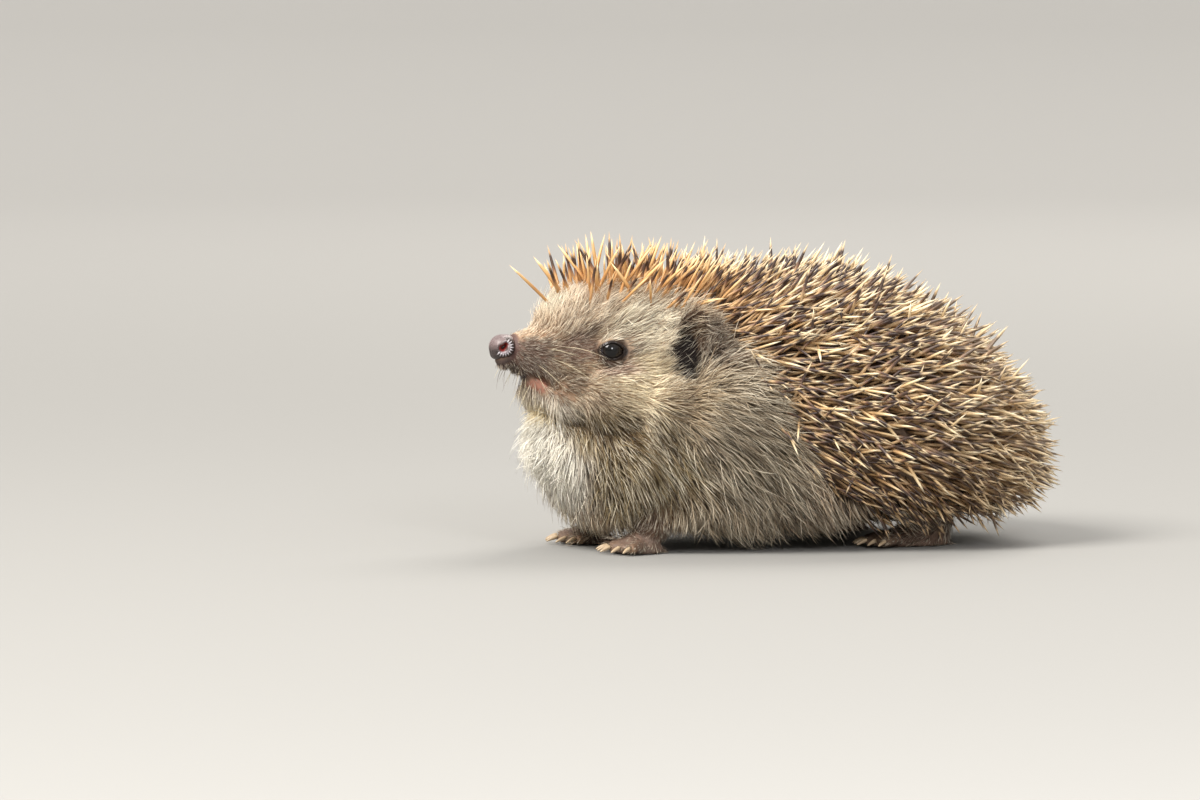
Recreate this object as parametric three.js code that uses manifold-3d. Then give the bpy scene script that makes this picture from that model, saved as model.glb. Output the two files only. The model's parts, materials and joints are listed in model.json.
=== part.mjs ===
// A life-size European hedgehog, crouched with its head raised.
// Millimetres, +Z up. The nose points along -Y and the animal's left side is +X.
// "back" is the distance behind the tip of the nose, and "up" the height above the floor.
// Every outline runs through the tips of the coat: spines on the mantle, fur elsewhere.

import * as THREE from 'three';
import { mergeVertices } from 'three/addons/utils/BufferGeometryUtils.js';
import Module from 'manifold-3d';

const wasm = await Module();
wasm.setup();

// ---- driving sizes ----

const bodyLength = 195; // tip of the nose to the last spines of the rump
const bodyWidth = 124; // across the spines of the flanks
const backHeight = 96; // floor to the spines of the back
const partingGap = 0.35; // thin cut between neighbouring pieces

const skirtHeight = 4; // lowest spines of the mantle above the floor
const bellyHeight = 7; // belly fur above the floor

const eye = { radius: 3.9, side: 15.4, back: 36.4, up: 65 };
const ear = { side: 28, back: 60, up: 67, height: 24, width: 15, depth: 12, wall: 1.8 };
const nose = { length: 9.2, width: 9.6, height: 8.8, up: 66.2 };
const nostril = { radius: 1.5, outward: 0.9, forward: 0.42, lift: 0.12 };

const forepaw = {
  side: 20, back: 45, length: 16, width: 14, height: 8, turnOut: 8,
  toeLength: 5.5, toeRadius: 2.1, fan: 46,
};
const hindpaw = {
  side: 30, back: 137, length: 27, width: 13, height: 8, turnOut: 10,
  toeLength: 6, toeRadius: 2.1, fan: 38,
};
const toesPerPaw = 5;
const claw = { length: 5.4, radius: 0.95, droop: 22 };

// ---- small tools for shaping ----

const degrees = THREE.MathUtils.degToRad;

// The angle along a rounded form, 0 at its front end and pi at its back end.
const roundAngle = (at, from, to) => Math.acos(1 - (2 * (at - from)) / (to - from));

// A smooth value along a form, from [back, value] stops. Interpolating by the round
// angle makes a value that falls to nothing at an end close there in a round cap.
function profile(stops) {
  const from = stops[0][0];
  const to = stops[stops.length - 1][0];
  const angles = stops.map(([at]) => roundAngle(at, from, to));
  const values = stops.map(([, value]) => value);
  const slope = (i) => (values[i + 1] - values[i]) / (angles[i + 1] - angles[i]);
  const tangents = values.map((_, i) => {
    if (i === 0) return slope(0);
    if (i === values.length - 1) return slope(i - 1);
    return (slope(i - 1) + slope(i)) / 2;
  });
  return (angle) => {
    const last = angles.length - 2;
    const i = Math.min(last, Math.max(0, angles.findIndex((a) => a > angle) - 1));
    const k = angle >= angles[last + 1] ? last : i;
    const width = angles[k + 1] - angles[k];
    const s = (angle - angles[k]) / width;
    return (
      values[k] * (1 - s) ** 2 * (1 + 2 * s) +
      tangents[k] * width * s * (1 - s) ** 2 +
      values[k + 1] * s ** 2 * (3 - 2 * s) -
      tangents[k + 1] * width * s ** 2 * (1 - s)
    );
  };
}

// A closed form along the body whose cross sections have a top, a bottom, a half width,
// a height where they are widest, and a squareness of 2 for an ellipse and more for a box.
function loft({ top, bottom, half, widest, squareness = 2, rings, sides }, grow = 0) {
  const from = top[0][0];
  const to = top[top.length - 1][0];
  const [topAt, bottomAt, halfAt, widestAt] = [top, bottom, half, widest].map(profile);
  const geometry = new THREE.SphereGeometry(1, sides, rings);
  const place = geometry.attributes.position;
  const power = 2 / squareness;
  for (let i = 0; i < place.count; i++) {
    const angle = Math.acos(THREE.MathUtils.clamp(place.getY(i), -1, 1));
    const reach = Math.hypot(place.getX(i), place.getZ(i)) || 1;
    const across = -place.getX(i) / reach; // the sphere's +Y pole becomes the front end, at -Y
    const rise = place.getZ(i) / reach;
    const onAxis = Math.sin(angle) < 1e-6;
    const middle = widestAt(angle);
    const edge = rise > 0 ? topAt(angle) + grow : bottomAt(angle) - grow;
    const x = onAxis ? 0 : Math.sign(across) * Math.abs(across) ** power * (halfAt(angle) + grow);
    const z = onAxis ? middle : middle + Math.abs(rise) ** power * (edge - middle);
    const y = from - grow + ((to - from + 2 * grow) * (1 - Math.cos(angle))) / 2;
    place.setXYZ(i, x, y, z);
  }
  return solid(geometry);
}

// A closed ellipsoid, turned by Euler angles and put in place.
function ellipsoid([a, b, c], [x, y, z], [turnX, turnY, turnZ] = [0, 0, 0], detail = 14) {
  const geometry = new THREE.SphereGeometry(1, detail * 2, detail);
  geometry.scale(a, b, c);
  geometry.rotateX(turnX);
  geometry.rotateY(turnY);
  geometry.rotateZ(turnZ);
  geometry.translate(x, y, z);
  return solid(geometry);
}

// A limb: a round bar between two points with a radius at each end.
function limb(start, end, startRadius, endRadius, sides = 10, caps = 3) {
  const length = start.distanceTo(end);
  const outline = [];
  for (let i = 0; i <= caps; i++) {
    const a = (Math.PI / 2) * (i / caps);
    outline.push(new THREE.Vector2(startRadius * Math.sin(a), -startRadius * Math.cos(a)));
  }
  for (let i = 0; i <= caps; i++) {
    const a = (Math.PI / 2) * (i / caps);
    outline.push(new THREE.Vector2(endRadius * Math.cos(a), length + endRadius * Math.sin(a)));
  }
  outline[0].x = 0;
  outline[outline.length - 1].x = 0;
  const geometry = new THREE.LatheGeometry(outline, sides);
  const along = new THREE.Vector3().subVectors(end, start).normalize();
  geometry.applyQuaternion(new THREE.Quaternion().setFromUnitVectors(new THREE.Vector3(0, 1, 0), along));
  geometry.translate(start.x, start.y, start.z);
  return solid(geometry);
}

// A side-view outline of [back, up] points, swept right across the animal.
function acrossBody(points) {
  const outline = new THREE.Shape(points.map(([back, up]) => new THREE.Vector2(back, up)));
  const geometry = new THREE.ExtrudeGeometry(outline, { depth: 2 * bodyWidth, bevelEnabled: false });
  geometry.translate(0, 0, -bodyWidth);
  geometry.applyMatrix4(new THREE.Matrix4().set(0, 0, 1, 0, 1, 0, 0, 0, 0, 1, 0, 0, 0, 0, 0, 1));
  return solid(geometry);
}

// Everything under a height, to cut away.
const below = (up) => acrossBody([[-10, -30], [bodyLength + 20, -30], [bodyLength + 20, up], [-10, up]]);

function solid(geometry) {
  geometry.deleteAttribute('normal');
  geometry.deleteAttribute('uv');
  const merged = mergeVertices(geometry, 1e-4);
  return new wasm.Manifold(
    new wasm.Mesh({
      numProp: 3,
      vertProperties: Float32Array.from(merged.attributes.position.array),
      triVerts: Uint32Array.from(merged.index.array),
    }),
  );
}

// Boolean cuts can leave crumbs, so a piece keeps its largest body.
function largest(shape) {
  return shape.decompose().reduce((a, b) => (b.volume() > a.volume() ? b : a));
}

const mirrored = (shape) => shape.mirror([1, 0, 0]);

const finishes = {
  spines: { color: 0x8f7c62, roughness: 0.6 },
  paleFur: { color: 0xd9cfb4, roughness: 0.9 },
  faceFur: { color: 0xb39f80, roughness: 0.9 },
  darkFur: { color: 0x6b5745, roughness: 0.9 },
  barePaw: { color: 0x8a6c5c, roughness: 0.7 },
  noseSkin: { color: 0x4a3a3a, roughness: 0.35 },
  eyeball: { color: 0x0c0908, roughness: 0.05 },
  horn: { color: 0xb9a58c, roughness: 0.45 },
};

function piece(name, shape, finish) {
  const whole = largest(shape);
  const { vertProperties, triVerts, numProp } = whole.getMesh();
  const geometry = new THREE.BufferGeometry();
  const places = new Float32Array((vertProperties.length / numProp) * 3);
  for (let i = 0; i < places.length / 3; i++) {
    places.set(vertProperties.subarray(i * numProp, i * numProp + 3), 3 * i);
  }
  geometry.setAttribute('position', new THREE.BufferAttribute(places, 3));
  geometry.setIndex(new THREE.BufferAttribute(triVerts, 1));
  geometry.computeVertexNormals();
  const mesh = new THREE.Mesh(geometry, new THREE.MeshStandardMaterial(finishes[finish]));
  mesh.name = name;
  return mesh;
}

// ---- forms of the body, out to the tips of the coat ----

// The spined back, from the brow to the rump.
const mantleForm = {
  top: [
    [13, 91], [19, 97], [38, 101], [72, 97], [116, backHeight],
    [140, 88.5], [162, 73], [177, 60], [188, 46], [bodyLength, 28],
  ],
  bottom: [[13, 91], [26, 66], [60, 20], [100, 0], [160, 0], [185, 6], [bodyLength, 28]],
  half: [
    [13, 0], [22, 18], [40, 30], [60, 38], [76, 46], [94, 54],
    [126, bodyWidth / 2], [158, 57], [182, 36], [bodyLength, 0],
  ],
  widest: [[13, 91], [24, 82], [60, 52], [100, 37], [150, 34], [bodyLength, 28]],
  squareness: 2.1,
  rings: 21,
  sides: 26,
};

// Chest, throat and shoulders, which bulge forward under the chin.
const chestForm = {
  top: [[12.5, 36], [17, 43.5], [28, 44], [44, 47], [58, 68], [76, 93], [128, 50]],
  bottom: [[12.5, 36], [17.5, 27], [24, 18.8], [34, 11.6], [48, bellyHeight], [90, bellyHeight], [128, 30]],
  half: [[12.5, 0], [18, 16], [30, 27.5], [48, 36.5], [64, 42], [84, 48], [108, 46], [128, 0]],
  widest: [[12.5, 36], [40, 23], [62, 32], [90, 32], [128, 40]],
  squareness: 2.3,
  rings: 15,
  sides: 20,
};

// Skull, cheeks and muzzle behind the nose pad.
const headForm = {
  top: [
    [5, 67], [8, 70], [13, 71.2], [17, 73.5], [19, 80],
    [22.5, 88], [34, 97], [50, 99], [66, 92], [82, 58],
  ],
  bottom: [
    [5, 67], [8, 59.6], [12, 57.4], [16.5, 55.6], [20.5, 51.6],
    [29, 46], [36, 38], [48, 32], [64, 31], [82, 58],
  ],
  half: [[5, 0], [8, 4.6], [13, 7.6], [17, 11], [24, 15.2], [36, 19.2], [50, 27.5], [64, 32], [82, 0]],
  widest: [[5, 66], [12, 63], [24, 62], [46, 53], [82, 56]],
  squareness: 2.15,
  rings: 21,
  sides: 18,
};

// The lower jaw, set back under the muzzle: parted from it in front, meeting it at the corner.
const jawForm = {
  top: [[11.6, 53.2], [14, 55.4], [18, 54.6], [24, 51], [33, 48], [38, 44]],
  bottom: [[11.6, 53.2], [14, 49.6], [19, 45.4], [28, 41], [38, 44]],
  half: [[11.6, 0], [14, 3.6], [19, 6.4], [28, 9.6], [38, 0]],
  widest: [[11.6, 53.2], [15, 52], [38, 44]],
  squareness: 2.2,
  rings: 9,
  sides: 14,
};

// The broad flat belly behind the shoulders, which fills the skirt of the mantle.
const bellyForm = {
  top: [[54, 30], [70, 52], [150, 50], [180, 26]],
  bottom: [[54, 30], [62, 10], [76, bellyHeight], [152, bellyHeight], [170, 10.5], [180, 26]],
  half: [[54, 0], [64, 27], [84, 41], [116, 45], [150, 43], [170, 30], [180, 0]],
  widest: [[54, 30], [80, 23], [150, 23], [180, 26]],
  squareness: 3,
  rings: 14,
  sides: 18,
};
const skirt = { back: 117, halfLength: 63, halfWidth: 45, roof: 30 };

// ---- cuts that part the body ----

// The lower edge of the spines in side view: brow, above the ear, down the shoulder.
const spineBorder = new THREE.SplineCurve(
  [[-4, 99], [12, 89], [20, 85.5], [36, 86], [58, 84], [73, 70], [79, 46], [91, 20], [108, -4]].map(
    ([back, up]) => new THREE.Vector2(back, up),
  ),
);

function mantleRegion(grow = 0) {
  const steps = 18;
  const border = [];
  for (let i = 0; i <= steps; i++) {
    const at = spineBorder.getPoint(i / steps);
    const along = spineBorder.getTangent(i / steps);
    border.push([at.x + along.y * grow, at.y - along.x * grow]);
  }
  const far = bodyLength + 20;
  return acrossBody([...border, [far, -4], [far, 130], [-4, 130]]);
}

// The plane between throat and chest, from under the chin to the shoulder.
const neckCut = { front: [2, 33], rear: [86, 44] };
function aboveNeckCut(offset) {
  const [[y1, z1], [y2, z2]] = [neckCut.front, neckCut.rear];
  return acrossBody([[y1, z1 + offset], [y2, z2 + offset], [y2, 130], [y1, 130]]);
}

// ---- head ----

function eyeball(side, grow = 0) {
  const r = eye.radius + grow;
  return ellipsoid([r, r, r], [side * eye.side, eye.back, eye.up], [0, 0, 0], 7);
}

// The pinna is a scoop: an ellipsoid with a smaller one cut out towards its opening.
const earTurn = degrees(-38);
function earBody(grow = 0) {
  return ellipsoid(
    [ear.depth / 2 + grow, ear.width / 2 + grow, ear.height / 2 + grow],
    [ear.side, ear.back, ear.up],
    [degrees(-14), 0, earTurn],
    7,
  );
}
function earScoop() {
  const opening = new THREE.Vector3(Math.cos(earTurn), Math.sin(earTurn), 0).multiplyScalar(3.4);
  return ellipsoid(
    [ear.depth / 2 + 0.6, ear.width / 2 - ear.wall, ear.height / 2 - ear.wall],
    [ear.side + opening.x, ear.back + opening.y, ear.up + 0.4],
    [degrees(-14), 0, earTurn],
    6,
  );
}

const noseCentre = [0, nose.length / 2, nose.up];
function nosePad(grow = 0) {
  return ellipsoid(
    [nose.width / 2 + grow, nose.length / 2 + grow, nose.height / 2 + grow],
    noseCentre,
    [degrees(12), 0, 0],
    7,
  );
}

function nostrilPit(side) {
  const out = new THREE.Vector3(side * nostril.outward, -nostril.forward, nostril.lift).normalize();
  const start = new THREE.Vector3(...noseCentre).addScaledVector(out, nose.width / 2 - 1.6);
  const end = start.clone().addScaledVector(out, 4);
  return limb(start, end, nostril.radius * 0.8, nostril.radius * 1.5, 7, 2);
}

const wholeHead = loft(headForm);
const muzzleCut = { back: 24 };
const inFront = (back) => acrossBody([[-5, 20], [back, 20], [back, 130], [-5, 130]]);
const behind = (back) => acrossBody([[back, 20], [120, 20], [120, 130], [back, 130]]);

// The socket widens outwards through the fur from the eyeball.
function eyeSocket(side) {
  const centre = new THREE.Vector3(side * eye.side, eye.back, eye.up);
  const rim = new THREE.Vector3(side * 0.93, -0.35, 0.1).multiplyScalar(6).add(centre);
  return eyeball(side, partingGap).add(limb(centre, rim, eye.radius * 0.9, eye.radius + 1.2, 10, 1));
}
const sockets = [1, -1].map(eyeSocket);
const earRoots = [earBody(partingGap), mirrored(earBody(partingGap))];
const upperHead = [...sockets, ...earRoots, mantleRegion(partingGap), nosePad(partingGap)].reduce(
  (shape, cutter) => shape.subtract(cutter),
  wholeHead,
);
const headSeat = loft(headForm, partingGap);
const lowerJaw = loft(jawForm).subtract(headSeat);

// ---- trunk and mantle ----

const furRegionCut = mantleRegion(partingGap);
const belly = loft(bellyForm);
const bellyGrown = loft(bellyForm, partingGap);
const furredFront = [furRegionCut, headSeat, loft(jawForm, partingGap), ...earRoots].reduce(
  (shape, cutter) => shape.subtract(cutter),
  loft(chestForm),
);
const neck = furredFront.intersect(aboveNeckCut(partingGap)).subtract(bellyGrown);
const trunk = furredFront.subtract(aboveNeckCut(0)).add(belly.subtract(headSeat));

// The mantle hangs as a skirt round the belly, open underneath.
const skirtOpening = solid(
  new THREE.CylinderGeometry(1, 1, 1, 18)
    .rotateX(Math.PI / 2)
    .scale(skirt.halfWidth + partingGap, skirt.halfLength + partingGap, skirt.roof)
    .translate(0, skirt.back, skirt.roof / 2 - skirtHeight),
);
const floorCut = below(skirtHeight);
const mantle = [bellyGrown, skirtOpening, floorCut].reduce(
  (shape, cutter) => shape.subtract(cutter),
  loft(mantleForm).intersect(mantleRegion()),
);

// ---- tail, legs and paws ----

const tail = limb(
  new THREE.Vector3(0, 166, 17),
  new THREE.Vector3(0, 177, 7.5),
  4.4,
  1.8,
).subtract(bellyGrown);

const trunkGrown = [loft(chestForm, partingGap), bellyGrown];
const underFloor = below(0);
const clearOfTrunk = (shape) =>
  [...trunkGrown, underFloor].reduce((left, cutter) => left.subtract(cutter), shape);

// Each leg runs from inside the trunk to its ankle. The paw below it is cut to meet it.
const legs = {
  foreleg: {
    paw: 'forepaw', size: forepaw,
    top: new THREE.Vector3(22, 55, 18), ankle: new THREE.Vector3(21, 50, 8),
    topRadius: 8.5, ankleRadius: 5.6,
  },
  hindleg: {
    paw: 'hindpaw', size: hindpaw,
    top: new THREE.Vector3(27, 138, 22), ankle: new THREE.Vector3(29, 146, 8),
    topRadius: 12, ankleRadius: 6,
  },
};

// Where toe number i points, in degrees from straight ahead, and where it starts.
function toeLine(size, i) {
  const spread = i / (toesPerPaw - 1) - 0.5;
  const heading = degrees(size.turnOut + spread * size.fan);
  const ahead = new THREE.Vector3(Math.sin(heading), -Math.cos(heading), 0);
  const start = new THREE.Vector3(
    size.side + spread * (size.width - 3),
    size.back - size.length / 2 + 3 + Math.abs(spread) * 5,
    size.toeRadius,
  );
  return { ahead, start, end: start.clone().addScaledVector(ahead, size.toeLength) };
}

function pawShape(size) {
  let shape = ellipsoid(
    [size.width / 2, size.length / 2, size.height],
    [size.side, size.back, 0],
    [0, 0, degrees(-size.turnOut / 2)],
    5,
  );
  for (let i = 0; i < toesPerPaw; i++) {
    const { start, end } = toeLine(size, i);
    const knuckle = start.clone().setZ(size.toeRadius + 1.2);
    shape = shape.add(limb(knuckle, end, size.toeRadius + 0.5, size.toeRadius, 5, 1));
  }
  return shape;
}

function clawShape(size, i, grow = 0) {
  const { ahead, end } = toeLine(size, i);
  const outline = [new THREE.Vector2(0, 0)];
  const steps = 2;
  for (let k = 0; k < steps; k++) {
    const s = k / steps;
    outline.push(new THREE.Vector2((claw.radius + grow) * Math.sqrt(1 - s), s * claw.length));
  }
  outline.push(new THREE.Vector2(0, claw.length + grow));
  const geometry = new THREE.LatheGeometry(outline, 5);
  const place = geometry.attributes.position;
  for (let k = 0; k < place.count; k++) {
    const s = place.getY(k) / claw.length;
    place.setZ(k, place.getZ(k) - 1.1 * s * s);
  }
  const down = ahead.clone().setZ(-Math.tan(degrees(claw.droop / 2))).normalize();
  const right = new THREE.Vector3().crossVectors(down, new THREE.Vector3(0, 0, 1)).normalize();
  const above = new THREE.Vector3().crossVectors(right, down);
  geometry.applyMatrix4(new THREE.Matrix4().makeBasis(right, down, above));
  const root = end.clone().addScaledVector(ahead, size.toeRadius - 1.4).setZ(size.toeRadius + 0.5);
  geometry.translate(root.x, root.y, root.z);
  return solid(geometry);
}

// ---- the model ----

const hedgehog = new THREE.Group();
const add = (name, shape, finish) => hedgehog.add(piece(name, shape, finish));

add('mantle', mantle, 'spines');
add('trunk', trunk, 'paleFur');
add('neck', neck, 'paleFur');
add('head', upperHead.intersect(behind(muzzleCut.back + partingGap)), 'faceFur');
add('muzzle', upperHead.intersect(inFront(muzzleCut.back)), 'darkFur');
add('lower_jaw', lowerJaw, 'paleFur');
add('nose', nosePad().subtract(nostrilPit(1)).subtract(nostrilPit(-1)), 'noseSkin');
add('tail', tail, 'paleFur');

const pinna = earBody().subtract(earScoop()).subtract(mantleRegion(partingGap));
for (const [side, sign] of [['left', 1], ['right', -1]]) {
  const onSide = (shape) => (sign > 0 ? shape : mirrored(shape));
  add(`eye_${side}`, eyeball(sign), 'eyeball');
  add(`ear_${side}`, onSide(pinna), 'darkFur');
  for (const [legName, leg] of Object.entries(legs)) {
    const legShape = (grow) =>
      onSide(limb(leg.top, leg.ankle, leg.topRadius + grow, leg.ankleRadius + grow));
    let paw = onSide(pawShape(leg.size)).subtract(legShape(partingGap));
    for (let i = 0; i < toesPerPaw; i++) {
      const clawPiece = onSide(clawShape(leg.size, i)).subtract(underFloor);
      add(`claw_${leg.paw}_${side}_${i + 1}`, clawPiece, 'horn');
      paw = paw.subtract(onSide(clawShape(leg.size, i, partingGap)));
    }
    add(`${legName}_${side}`, clearOfTrunk(legShape(0)), 'darkFur');
    add(`${leg.paw}_${side}`, clearOfTrunk(paw), 'barePaw');
  }
}

// The origin lies on the floor under the middle of the whole animal.
const bounds = new THREE.Box3().setFromObject(hedgehog);
const middle = bounds.getCenter(new THREE.Vector3());
hedgehog.position.set(-middle.x, -middle.y, -bounds.min.z);

export default hedgehog;
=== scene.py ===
import itertools
import json
import math

import bmesh
import bpy
import numpy as np
from mathutils import Matrix, Vector
from mathutils.bvhtree import BVHTree
from mathutils.kdtree import KDTree

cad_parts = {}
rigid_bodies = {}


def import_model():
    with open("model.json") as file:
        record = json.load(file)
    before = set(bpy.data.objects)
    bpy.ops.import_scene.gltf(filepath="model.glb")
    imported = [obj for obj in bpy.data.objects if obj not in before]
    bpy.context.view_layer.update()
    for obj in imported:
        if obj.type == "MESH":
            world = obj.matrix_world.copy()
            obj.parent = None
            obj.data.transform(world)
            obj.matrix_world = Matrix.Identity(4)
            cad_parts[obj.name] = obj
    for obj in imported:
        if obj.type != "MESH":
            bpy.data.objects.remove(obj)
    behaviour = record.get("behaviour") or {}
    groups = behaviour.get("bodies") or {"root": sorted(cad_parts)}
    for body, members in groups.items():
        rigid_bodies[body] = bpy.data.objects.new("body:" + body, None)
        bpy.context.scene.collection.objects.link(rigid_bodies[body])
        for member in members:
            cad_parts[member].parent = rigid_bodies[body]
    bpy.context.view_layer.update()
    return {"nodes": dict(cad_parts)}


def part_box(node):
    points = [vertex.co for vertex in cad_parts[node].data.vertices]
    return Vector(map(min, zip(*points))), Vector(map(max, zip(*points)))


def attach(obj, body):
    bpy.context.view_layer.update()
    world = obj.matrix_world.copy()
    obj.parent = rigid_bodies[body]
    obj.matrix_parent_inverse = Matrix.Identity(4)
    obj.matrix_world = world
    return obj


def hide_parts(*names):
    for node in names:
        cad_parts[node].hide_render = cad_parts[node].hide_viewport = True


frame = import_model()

nodes = frame["nodes"]
print("frame loaded")

# The animal's own places are in millimetres: side is out to its left, back is behind the tip
# of the nose, and up is above the floor.
mm = 0.001
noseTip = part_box("nose")[0].y
quickShare = 1.0
sideNames = {1: "left", -1: "right"}


def place(side, back, up):
    return Vector((side * mm, noseTip + back * mm, up * mm))


def ownPlaces(points):
    # (side, back, up) in millimetres of points in metres
    return (points - np.array([0, noseTip, 0])) / mm


def boxMiddle(name):
    low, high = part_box(name)
    return (low + high) / 2


def smoothStep(low, high, value):
    s = np.clip((value - low) / (high - low), 0, 1)
    return s * s * (3 - 2 * s)


def roundProfile(stops):
    # a smooth value along a form from [back, value] stops, even in the angle of a round form
    first, last = stops[0][0], stops[-1][0]
    angles = [math.acos(1 - 2 * (back - first) / (last - first)) for back, _ in stops]
    values = [value for _, value in stops]
    slopes = [(values[i + 1] - values[i]) / (angles[i + 1] - angles[i]) for i in range(len(stops) - 1)]
    tangents = [slopes[0]]
    tangents += [(before + after) / 2 for before, after in zip(slopes, slopes[1:])]
    tangents += [slopes[-1]]

    def valueAt(angle):
        i = min(len(slopes) - 1, max(0, sum(a <= angle for a in angles) - 1))
        width = angles[i + 1] - angles[i]
        s = (angle - angles[i]) / width
        return (values[i] * (1 - s) ** 2 * (1 + 2 * s) + tangents[i] * width * s * (1 - s) ** 2
                + values[i + 1] * s ** 2 * (3 - 2 * s) - tangents[i + 1] * width * s ** 2 * (1 - s))

    return valueAt


def addForm(bm, form):
    # a round form along the body, with a top, a bottom, a half width and a widest height
    made = bmesh.ops.create_uvsphere(bm, u_segments=56, v_segments=56, radius=1)
    first, last = form["top"][0][0], form["top"][-1][0]
    top, bottom, half, widest = (roundProfile(form[key]) for key in ("top", "bottom", "half", "widest"))
    power = 2 / form["squareness"]
    for vert in made["verts"]:
        angle = math.acos(max(-1, min(1, vert.co.z)))
        reach = math.hypot(vert.co.x, vert.co.y)
        across = vert.co.x / reach if reach > 1e-6 else 0
        rise = vert.co.y / reach if reach > 1e-6 else 0
        middle = widest(angle)
        edge = top(angle) if rise > 0 else bottom(angle)
        side = math.copysign(abs(across) ** power, across) * half(angle)
        up = middle + abs(rise) ** power * (edge - middle)
        vert.co = place(side, first + (last - first) * (1 - math.cos(angle)) / 2, up)
    return made["verts"]


def addLimb(bm, start, end, startRadius, endRadius):
    # a round bar between two places, with a ball at each end
    along = end - start
    turn = Vector((0, 0, 1)).rotation_difference(along).to_matrix().to_4x4()
    bmesh.ops.create_cone(
        bm, cap_ends=True, segments=24, radius1=startRadius * mm, radius2=endRadius * mm, depth=along.length,
        matrix=Matrix.Translation((start + end) / 2) @ turn)
    for centre, radius in ((start, startRadius), (end, endRadius)):
        bmesh.ops.create_icosphere(bm, subdivisions=3, radius=radius * mm, matrix=Matrix.Translation(centre))


def addNodeCopy(bm, name, inset=0.0):
    # the solid of a node, drawn in a little so that the coat or skin detail can lie over it
    copy = bmesh.new()
    copy.from_mesh(nodes[name].data)
    bmesh.ops.remove_doubles(copy, verts=copy.verts, dist=0.02 * mm)
    copy.normal_update()
    moves = [(vert, vert.normal.copy()) for vert in copy.verts]
    for vert, normal in moves:
        vert.co -= normal * inset * mm
    spare = bpy.data.meshes.new("spare")
    copy.to_mesh(spare)
    bm.from_mesh(spare)
    bpy.data.meshes.remove(spare)
    copy.free()


def newPiece(name, bm):
    mesh = bpy.data.meshes.new(name)
    bm.to_mesh(mesh)
    bm.free()
    piece = bpy.data.objects.new(name, mesh)
    bpy.context.scene.collection.objects.link(piece)
    return piece


def applyModifiers(piece):
    graph = bpy.context.evaluated_depsgraph_get()
    finished = bpy.data.meshes.new_from_object(piece.evaluated_get(graph))
    old = piece.data
    piece.modifiers.clear()
    piece.data = finished
    finished.name = piece.name
    bpy.data.meshes.remove(old)


def vertexPlaces(mesh):
    flat = np.empty(len(mesh.vertices) * 3, np.float32)
    mesh.vertices.foreach_get("co", flat)
    return flat.reshape(-1, 3).astype(float)


def setVertexPlaces(mesh, points):
    mesh.vertices.foreach_set("co", points.astype(np.float32).ravel())
    mesh.update()


def addValues(mesh, label, values):
    layer = mesh.attributes.new(label, "FLOAT", "POINT")
    layer.data.foreach_set("value", np.asarray(values, np.float32))


def vertexNormals(mesh):
    flat = np.empty(len(mesh.vertices) * 3, np.float32)
    mesh.vertex_normals.foreach_get("vector", flat)
    return flat.reshape(-1, 3).astype(float)


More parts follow.
